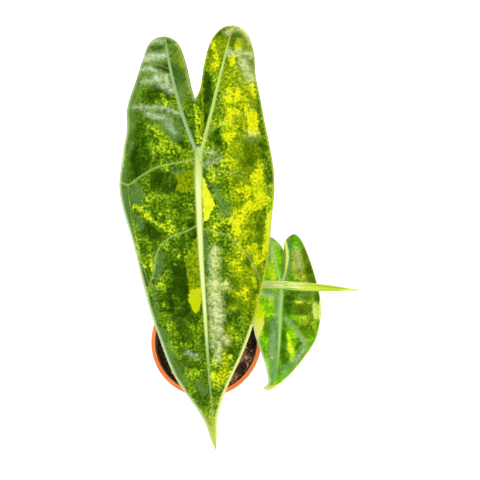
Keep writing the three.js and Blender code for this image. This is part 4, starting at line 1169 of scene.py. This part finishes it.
def new_leaf_material():
    """Yellow-green streaks with crisp darker lines, lime on the low side, olive then yellow tip."""
    skin = Skin("new_leaf_skin")
    place = skin.attribute("flat", "Vector")
    streak = skin.noise(skin.scaled(place, (1.0, 1.0, 0.015)), 0.8, 3.0)
    fine = skin.noise(skin.scaled(place, (1.0, 1.0, 0.03), (3, 8, 1)), 1.6, 2.0)
    share = skin.attribute("along")
    wrap = skin.attribute("wrap")
    low = skin.attribute("low")
    tone = skin.blend(streak.ramp(0.38, 0.62), linear(208, 234, 92), linear(250, 255, 156))
    tone = skin.blend((low + (streak - 0.5) * 0.6).ramp(0.35, 0.75) * 0.8, tone, linear(188, 224, 50))
    tone = skin.blend(fine.ramp(0.52, 0.6) * 0.75, tone, linear(112, 150, 30))
    tip = skin.blend(streak.ramp(0.35, 0.65), linear(150, 178, 10), linear(202, 224, 50))
    tone = skin.blend((share + (streak - 0.5) * 0.2).ramp(0.76, 0.84), tone, tip)
    tone = skin.blend((share + (streak - 0.5) * 0.1).ramp(0.94, 0.975), tone, linear(232, 244, 90))
    tone = skin.blend(share.ramp(0.45, 0.2) * 0.6, tone, linear(142, 172, 78))
    edge = (wrap - 0.5).size().ramp(0.022, 0.008) * share.ramp(0.4, 0.5)
    tone = skin.blend(edge * 0.7, tone, linear(104, 118, 50))
    return skin.finish(tone, (fine - 0.5) * 0.2 + 0.4, 0.1, streak + fine * 0.4, 0.0002)


# Pot, soil and crown


def lathe(profile, sides):
    """Surface of revolution of (radius, height) points in mm; end points may lie on the axis."""
    angle = ring_angles(sides)
    rings, index, start = [], [], 0
    for radius, height in profile:
        on_axis = radius < 1e-6
        turn = angle[:1] if on_axis else angle
        rings.append(np.stack([radius * np.cos(turn), radius * np.sin(turn), height + 0 * turn], axis=-1))
        index.append(np.full(sides, start) if on_axis else start + np.arange(sides))
        start += len(turn)
    return np.concatenate(rings), clean_faces(closed_quads(np.array(index)))


def rounded(profile, radius, steps=4):
    """A profile with each corner replaced by a small curve between points on its two sides."""
    profile = [np.array(point, dtype=float) for point in profile]
    result = [profile[0]]
    for before, corner, after in zip(profile[:-2], profile[1:-1], profile[2:]):
        back, ahead = before - corner, after - corner
        reach = min(radius, 0.4 * np.linalg.norm(back), 0.4 * np.linalg.norm(ahead))
        start = corner + back / np.linalg.norm(back) * reach
        end = corner + ahead / np.linalg.norm(ahead) * reach
        for t in np.linspace(0, 1, steps + 1):
            result.append((1 - t) ** 2 * start + 2 * t * (1 - t) * corner + t * t * end)
    return result + [profile[-1]]


# Pot, in mm: inner radius at the base and at the neck, the neck's height, the wall, the floor
# that the drain holes stand in, and the softness of its edges.
POT_BASE = 35.4
POT_NECK = 48.7
POT_NECK_HEIGHT = 82
POT_WALL = 1.6
POT_HOLES = 8
HOLE_RADIUS = 4
HOLE_CIRCLE = 22
POT_EDGE = 0.9
POT_SLOPE = (POT_NECK - POT_BASE) / POT_NECK_HEIGHT


def pot_inner(height):
    """Inner radius of the pot at a height, in mm."""
    return POT_BASE + POT_SLOPE * height


def pot_profile():
    """Underside with its foot ring, outer wall, skirt and lip, inner wall and raised floor."""
    outside = [(0, 0), (12, 0), (13, 2.5), (31, 2.5), (32, 0), (37, 0),
               (pot_inner(POT_NECK_HEIGHT) + POT_WALL, POT_NECK_HEIGHT)]
    lip = [(50.9, 82), (50.2, 73), (51.8, 73), (52.5, 83.3), (51.8, 84), (POT_NECK + 0.7, 84),
           (POT_NECK, 83.3), (POT_NECK, POT_NECK_HEIGHT)]
    inside = [(pot_inner(POT_WALL), POT_WALL), (33, POT_WALL), (32, 2.5 + POT_WALL),
              (12, 2.5 + POT_WALL), (11, POT_WALL), (0, POT_WALL)]
    return rounded(outside + lip + inside, POT_EDGE)


def drain_holes():
    """Upright cylinders where the floor is open."""
    holes = []
    for turn in ring_angles(POT_HOLES) + math.pi / POT_HOLES:
        points, faces = lathe([(0, -4), (HOLE_RADIUS, -4), (HOLE_RADIUS, 8), (0, 8)], 32)
        middle = np.array([HOLE_CIRCLE * math.cos(turn), HOLE_CIRCLE * math.sin(turn), 0])
        holes.append((points + middle, faces))
    return join_meshes(holes)


def plain_object(name, points, faces):
    """Object of points in mm that only helps to make another one."""
    mesh = bpy.data.meshes.new(name)
    mesh.from_pydata((points * MM).tolist(), [], faces)
    helper = bpy.data.objects.new(name, mesh)
    bpy.context.scene.collection.objects.link(helper)
    return helper


def make_pot(material):
    """Thin thermoformed pot: rolled lip, skirt, raised foot ring and eight drain holes."""
    body = plain_object("pot_wall", *lathe(pot_profile(), 160))
    cutter = plain_object("pot_holes", *drain_holes())
    cut = body.modifiers.new("holes", "BOOLEAN")
    cut.object = cutter
    cut.operation = "DIFFERENCE"
    cut.solver = "EXACT"
    mesh = bpy.data.meshes.new_from_object(body.evaluated_get(bpy.context.evaluated_depsgraph_get()))
    mesh.name = "pot"
    bpy.data.objects.remove(body)
    bpy.data.objects.remove(cutter)
    add_piece("pot", mesh, material)
    mesh.set_sharp_from_angle(angle=math.radians(35))


def pot_material():
    """Orange moulded plastic: satin, faint flow marks, pale scuffs, painted shade inside the inner wall.
    """
    skin = Skin("pot_plastic")
    place = skin.object_place()
    flow = skin.noise(skin.scaled(place, (1.0, 1.0, 0.15)), 60, 3.0)
    fine = skin.noise(place, 900, 2.0)
    scuff = skin.noise(skin.scaled(place, (1.0, 1.0, 2.0), (0.3, 0.1, 0)), 120, 4.0, 0.7)
    tone = skin.blend(flow.ramp(0.3, 0.7), linear(242, 116, 42), linear(253, 144, 74))
    tone = skin.blend(scuff.ramp(0.56, 0.72) * 0.45, tone, linear(255, 186, 146))
    radius = skin.length_along(place, (1.0, 1.0, 0.0))
    height = skin.length_along(place, (0.0, 0.0, 1.0))
    # Painted light: everything nearer the axis than about 49 mm is lightened, meant for the lip's inner
    # edge, which lies in shade; it takes in the outer wall below the skirt too.
    tone = skin.blend(radius.ramp(0.0497, 0.0490) * 0.7, tone, linear(255, 170, 104))
    # Painted shade: on and within the inner wall's cone below the lip, which takes in the inner wall, the
    # floor and the middle of the underside, the plastic turns deep brown, as in the shade inside the pot.
    past_inner = radius - height * POT_SLOPE - POT_BASE * MM
    inward = past_inner.ramp(0.0006, 0.0003) * height.ramp(0.0832, 0.0826)
    painted_inner_shade = skin.blend(scuff.ramp(0.4, 0.6), linear(52, 32, 22), linear(120, 74, 48))
    tone = skin.blend(inward * 0.85, tone, painted_inner_shade)
    return skin.finish(tone, scuff.ramp(0.35, 0.7, 0.42, 0.62), 0.25, fine + flow * 0.5, 0.00008)


# Potting mix, in mm: height of its surface, its gap to the pot, the rings and sides of its
# top, and the radius round the stalks that chips leave free.
SOIL_TOP = 75
SOIL_GAP = 0.3
SOIL_RINGS = 56
SOIL_SIDES = 220
CROWN_REACH = 13.5

# Chips and crumbs: how many, shortest and longest, and how far from the middle they lie.
CHIP_SORTS = ((90, 4.5, 10.5, 42.0), (190, 2.2, 4.5, 43.5), (420, 1.0, 2.2, 45.0))
CHIP_ROWS = 7
CHIP_SIDES = 10
SOIL_SEED = 41

# Turn from one chip to the next, which spreads them evenly.
GOLDEN_ANGLE = 2.39996


def soil_height(x, y):
    """Height of the soil's surface: the part's own waves in mm."""
    waves = np.sin(x * 0.31 + 1.3) * np.cos(y * 0.27 - 0.6) + 0.6 * np.sin(x * 0.71 - y * 0.52)
    waves = waves + 0.4 * np.cos(x * 0.4 + y * 0.93)
    return SOIL_TOP + 0.75 * waves + 1.5 * (1 - np.hypot(x, y) / POT_NECK)


def lump(random, length, width, height):
    """A rounded, knobbly chip: a small ball pushed toward a box, roughened and tapered."""
    u = np.pi * (np.arange(1, CHIP_ROWS) / CHIP_ROWS)[:, None]
    v = ring_angles(CHIP_SIDES)[None, :]
    ball = np.stack([np.sin(u) * np.cos(v), np.sin(u) * np.sin(v), np.cos(u) + 0 * v], axis=-1)
    ball = np.concatenate([ball.reshape(-1, 3), [[0, 0, 1.0]], [[0, 0, -1.0]]])
    ball = np.sign(ball) * np.abs(ball) ** 0.62
    bumps = 1 + 0.10 * np.sin(ball @ random.uniform(-5, 5, 3) + random.uniform(0, 6))
    bumps = bumps + 0.06 * random.uniform(-1, 1, len(ball))
    taper = 1 - random.uniform(0.1, 0.5) * (ball[:, 0] > 0) * ball[:, 0]
    points = ball * bumps[:, None] * np.array([length, width, height]) / 2
    points[:, 1] *= taper
    count = (CHIP_ROWS - 1) * CHIP_SIDES
    index = np.arange(count).reshape(CHIP_ROWS - 1, CHIP_SIDES)
    top_pole = np.full((1, CHIP_SIDES), count)
    rows = np.concatenate([top_pole, index, top_pole + 1])
    return points, clean_faces(closed_quads(rows)[:, ::-1])


def turned(points, x, y, z):
    """Points turned about X, then Y, then Z, in radians."""
    turn = Matrix.Rotation(z, 3, "Z") @ Matrix.Rotation(y, 3, "Y") @ Matrix.Rotation(x, 3, "X")
    return points @ np.array(turn).T


def soil_mound():
    """The mound's points, faces and bark tones: the CAD's surface with fine crumb relief."""
    rim = pot_inner(SOIL_TOP) - SOIL_GAP
    floor = [(0, 1.9), (10.7, 1.9), (11.7, 4.4), (32.3, 4.4), (33.3, 1.9),
             (pot_inner(1.9) - SOIL_GAP, 1.9)]
    top_rings = [(rim * (1 - i / SOIL_RINGS), SOIL_TOP) for i in range(SOIL_RINGS + 1)]
    points, faces = lathe(floor + top_rings, SOIL_SIDES)
    x, y = points[:, 0], points[:, 1]
    crumbs = 0.35 * np.sin(x * 2.1 + 3 * np.sin(y * 0.9)) * np.sin(y * 2.3 + 2 * np.cos(x * 0.8))
    crumbs = crumbs + 0.25 * np.sin(x * 4.3 + y * 1.7) * np.cos(y * 4.9 - x * 2.3)
    surface = soil_height(x, y) + crumbs * np.clip((rim - np.hypot(x, y)) / 2, 0, 1)
    on_top = points[:, 2] > SOIL_TOP - 1
    points[:, 2] = np.where(on_top, surface, points[:, 2])
    barky = np.clip((x - 6) / 8, 0, 1) * np.clip((-6 - y) / 8, 0, 1) * on_top
    tone = 0.55 + 0.3 * np.sin(x * 1.1 + 2 * np.sin(y * 0.7)) * np.cos(y * 1.3)
    return points, faces, barky * tone


def bark_chip(random, i, count, small, large, reach):
    """One chip's points, faces and tone: longer and paler on the front right of the pot."""
    angle = i * GOLDEN_ANGLE + random.uniform(0, 0.6)
    share = (i + random.uniform(0.1, 0.9)) / count
    radius = math.sqrt(CROWN_REACH ** 2 + (reach ** 2 - CROWN_REACH ** 2) * share)
    x, y = radius * math.cos(angle), radius * math.sin(angle)
    fresh_side = x > 8 and y < -8
    length = (small + (large - small) * random.uniform() ** 1.6) * (1.35 if fresh_side else 1.0)
    width = length * random.uniform(0.45, 0.8)
    height = length * random.uniform(0.25, 0.5)
    points, faces = lump(random, length, width, height)
    tilt_x = random.uniform(-0.4, 0.4)
    tilt_y = random.uniform(-0.35, 0.35)
    points = turned(points, tilt_x, tilt_y, random.uniform(0, math.pi))
    points = points + np.array([x, y, soil_height(x, y) + 0.25 * height])
    fresh = random.uniform() < (0.85 if fresh_side else 0.25)
    tone = random.uniform(0.62, 1.0) if fresh else random.uniform(0.05, 0.4)
    return points, faces, np.full(len(points), tone)


def make_soil(material):
    """Potting mix: the mound under bark chips and crumbs."""
    random = np.random.default_rng(SOIL_SEED)
    parts = [soil_mound()]
    for count, small, large, reach in CHIP_SORTS:
        parts += [bark_chip(random, i, count, small, large, reach) for i in range(count)]
    points, faces = join_meshes([(points, faces) for points, faces, _ in parts])
    tones = np.concatenate([tone for _, _, tone in parts])
    make_piece("potting_mix", points, faces, material, values=dict(chip=tones))


def soil_material():
    """Dark peat with brown fibre, and bark chips from near black to pinkish tan."""
    skin = Skin("soil")
    place = skin.object_place()
    coarse = skin.noise(place, 160, 4.0, 0.65)
    fine = skin.noise(place, 900, 3.0, 0.6)
    grain = skin.noise(skin.scaled(place, (1.0, 0.25, 1.0)), 700, 3.0)
    peat = skin.blend((coarse + (fine - 0.5) * 0.6).ramp(0.4, 0.7), linear(14, 6, 2), linear(72, 46, 24))
    # The bark's tan is its own colour, lightened further as painted light to make up for the shade of the
    # large leaf over the chips.
    bark = skin.blend(grain.ramp(0.35, 0.65), linear(142, 92, 64), linear(230, 172, 136))
    dull = skin.blend(grain.ramp(0.3, 0.7), linear(34, 20, 15), linear(84, 56, 42))
    chip = skin.attribute("chip")
    tone = skin.blend(chip.ramp(0.02, 0.06), peat, skin.blend(chip.ramp(0.42, 0.75), dull, bark))
    return skin.finish(tone, coarse.ramp(0.3, 0.7, 0.8, 0.95), 0.25, fine + grain * 0.5, 0.0004)


# Rhizome, in mm: its foot, its height up to the crown, and its half width.
RHIZOME_FOOT = 50
RHIZOME_HEIGHT = 29.5
RHIZOME_HALF = 11


def make_rhizome(material):
    """Short upright stem: a swelling side with ringed leaf scars, and ridges round it."""
    profile = [(0, RHIZOME_FOOT)]
    for share in np.linspace(0, 1, 60):
        scar = 0.5 * max(0.0, math.sin(share * 4 * 2 * math.pi - 1.2)) ** 3
        swell = 0.6 + 0.4 * math.sin(math.pi * min(1, 0.15 + share * 0.6))
        profile.append((RHIZOME_HALF * swell - scar, RHIZOME_FOOT + RHIZOME_HEIGHT * share))
    profile += [(10.4, 80.2), (9.2, 81), (0, 81)]
    points, faces = lathe(profile, 72)
    angle = np.arctan2(points[:, 1], points[:, 0])
    ridge = 1 - 0.02 * np.abs(np.sin(9 * angle + points[:, 2] * 0.2)) - 0.01 * np.abs(np.sin(23 * angle))
    points[:, :2] *= ridge[:, None]
    make_piece("rhizome", points, faces, material)


def rhizome_material():
    """Brown-green corky skin with darker fibres round it."""
    skin = Skin("rhizome_skin")
    place = skin.object_place()
    rings = skin.noise(skin.scaled(place, (0.2, 0.2, 1.0)), 500, 3.0)
    fibre = skin.noise(skin.scaled(place, (1.0, 1.0, 0.1)), 600, 3.0)
    tone = skin.blend(rings.ramp(0.35, 0.65), linear(92, 84, 44), linear(140, 134, 78))
    tone = skin.blend(fibre.ramp(0.55, 0.68) * 0.7, tone, linear(70, 50, 32))
    return skin.finish(tone, fibre.ramp(0.3, 0.7, 0.6, 0.85), 0.5, fibre + rings * 0.6, 0.0004)


# Studio


def make_floor():
    """Plain pale floor with a faint paper grain."""
    skin = Skin("floor_paper")
    paper = skin.noise(skin.object_place(), 40, 3.0)
    tone = skin.blend(paper.ramp(0.3, 0.7), (0.96, 0.96, 0.96, 1), (0.99, 0.99, 0.99, 1))
    skin.attach(tone, skin.shader.inputs["Base Color"])
    skin.attach(0.9, skin.shader.inputs["Roughness"])
    skin.attach(0.0, skin.shader.inputs["Specular IOR Level"])
    skin.attach((1, 1, 1, 1), skin.shader.inputs["Emission Color"])
    skin.attach(FLOOR_GLOW, skin.shader.inputs["Emission Strength"])
    mesh = bpy.data.meshes.new("floor")
    corners = [(x * FLOOR_REACH, y * FLOOR_REACH, 0) for x, y in ((-1, -1), (1, -1), (1, 1), (-1, 1))]
    mesh.from_pydata(corners, [], [(0, 1, 2, 3)])
    mesh.materials.append(skin.material)
    floor = bpy.data.objects.new("floor", mesh)
    bpy.context.scene.collection.objects.link(floor)


def make_light():
    """White surroundings and one large soft lamp above the viewer's left shoulder."""
    world = bpy.data.worlds.new("studio")
    bpy.context.scene.world = world
    world.use_nodes = True
    background = world.node_tree.nodes["Background"]
    background.inputs["Color"].default_value = (1, 1, 1, 1)
    background.inputs["Strength"].default_value = SURROUNDINGS
    lamp = bpy.data.lights.new("key", "AREA")
    lamp.shape = "DISK"
    lamp.size = LAMP_SIZE
    lamp.energy = LAMP_POWER
    key = bpy.data.objects.new("key", lamp)
    key.location = LAMP_PLACE
    key.rotation_euler = (Vector(LAMP_AIM) - Vector(LAMP_PLACE)).to_track_quat("-Z", "Y").to_euler()
    bpy.context.scene.collection.objects.link(key)


def make_camera():
    """The photograph's view: steeply down along +Y."""
    data = bpy.data.cameras.new("camera")
    data.lens = CAMERA_LENS
    data.sensor_width = CAMERA_FRAME
    data.clip_start = CAMERA_NEAREST
    camera = bpy.data.objects.new("camera", data)
    camera.location = CAMERA_PLACE
    camera.rotation_euler = (math.pi / 2 - CAMERA_DOWN, 0, 0)
    bpy.context.scene.collection.objects.link(camera)
    bpy.context.scene.camera = camera


make_camera()
make_light()
make_floor()
fine_blade("large_leaf", LARGE_LEAF, LARGE_MARKS, leaf_material("large_leaf_skin", LARGE_LOOK))
fine_blade("small_leaf", SMALL_LEAF, SMALL_MARKS, leaf_material("small_leaf_skin", SMALL_LOOK))
large_sheath = sheath(LARGE_SHEATH, slant=(0, 1.7), wall=1.0, slit=-math.pi / 2, slit_half=0.25)
large_skin = stalk_material("large_petiole_skin", (150, 178, 76), (196, 214, 126), (118, 132, 62))
make_petiole("large_petiole", LARGE_PETIOLE_PATH, LARGE_PETIOLE_RADII, large_sheath, large_skin,
             groove=0.25)
small_sheath = sheath(SMALL_SHEATH, slant=(1.1, -0.1), wall=1.2, slit=math.pi, slit_half=0.12)
small_skin = stalk_material("small_petiole_skin", (134, 166, 62), (178, 202, 106), (104, 120, 50))
make_petiole("small_petiole", SMALL_PETIOLE_PATH, SMALL_PETIOLE_RADII, small_sheath, small_skin,
             groove=0.2)
make_new_leaf(new_leaf_material())
make_pot(pot_material())
make_soil(soil_material())
make_rhizome(rhizome_material())
bpy.context.scene.view_settings.view_transform = "Standard"
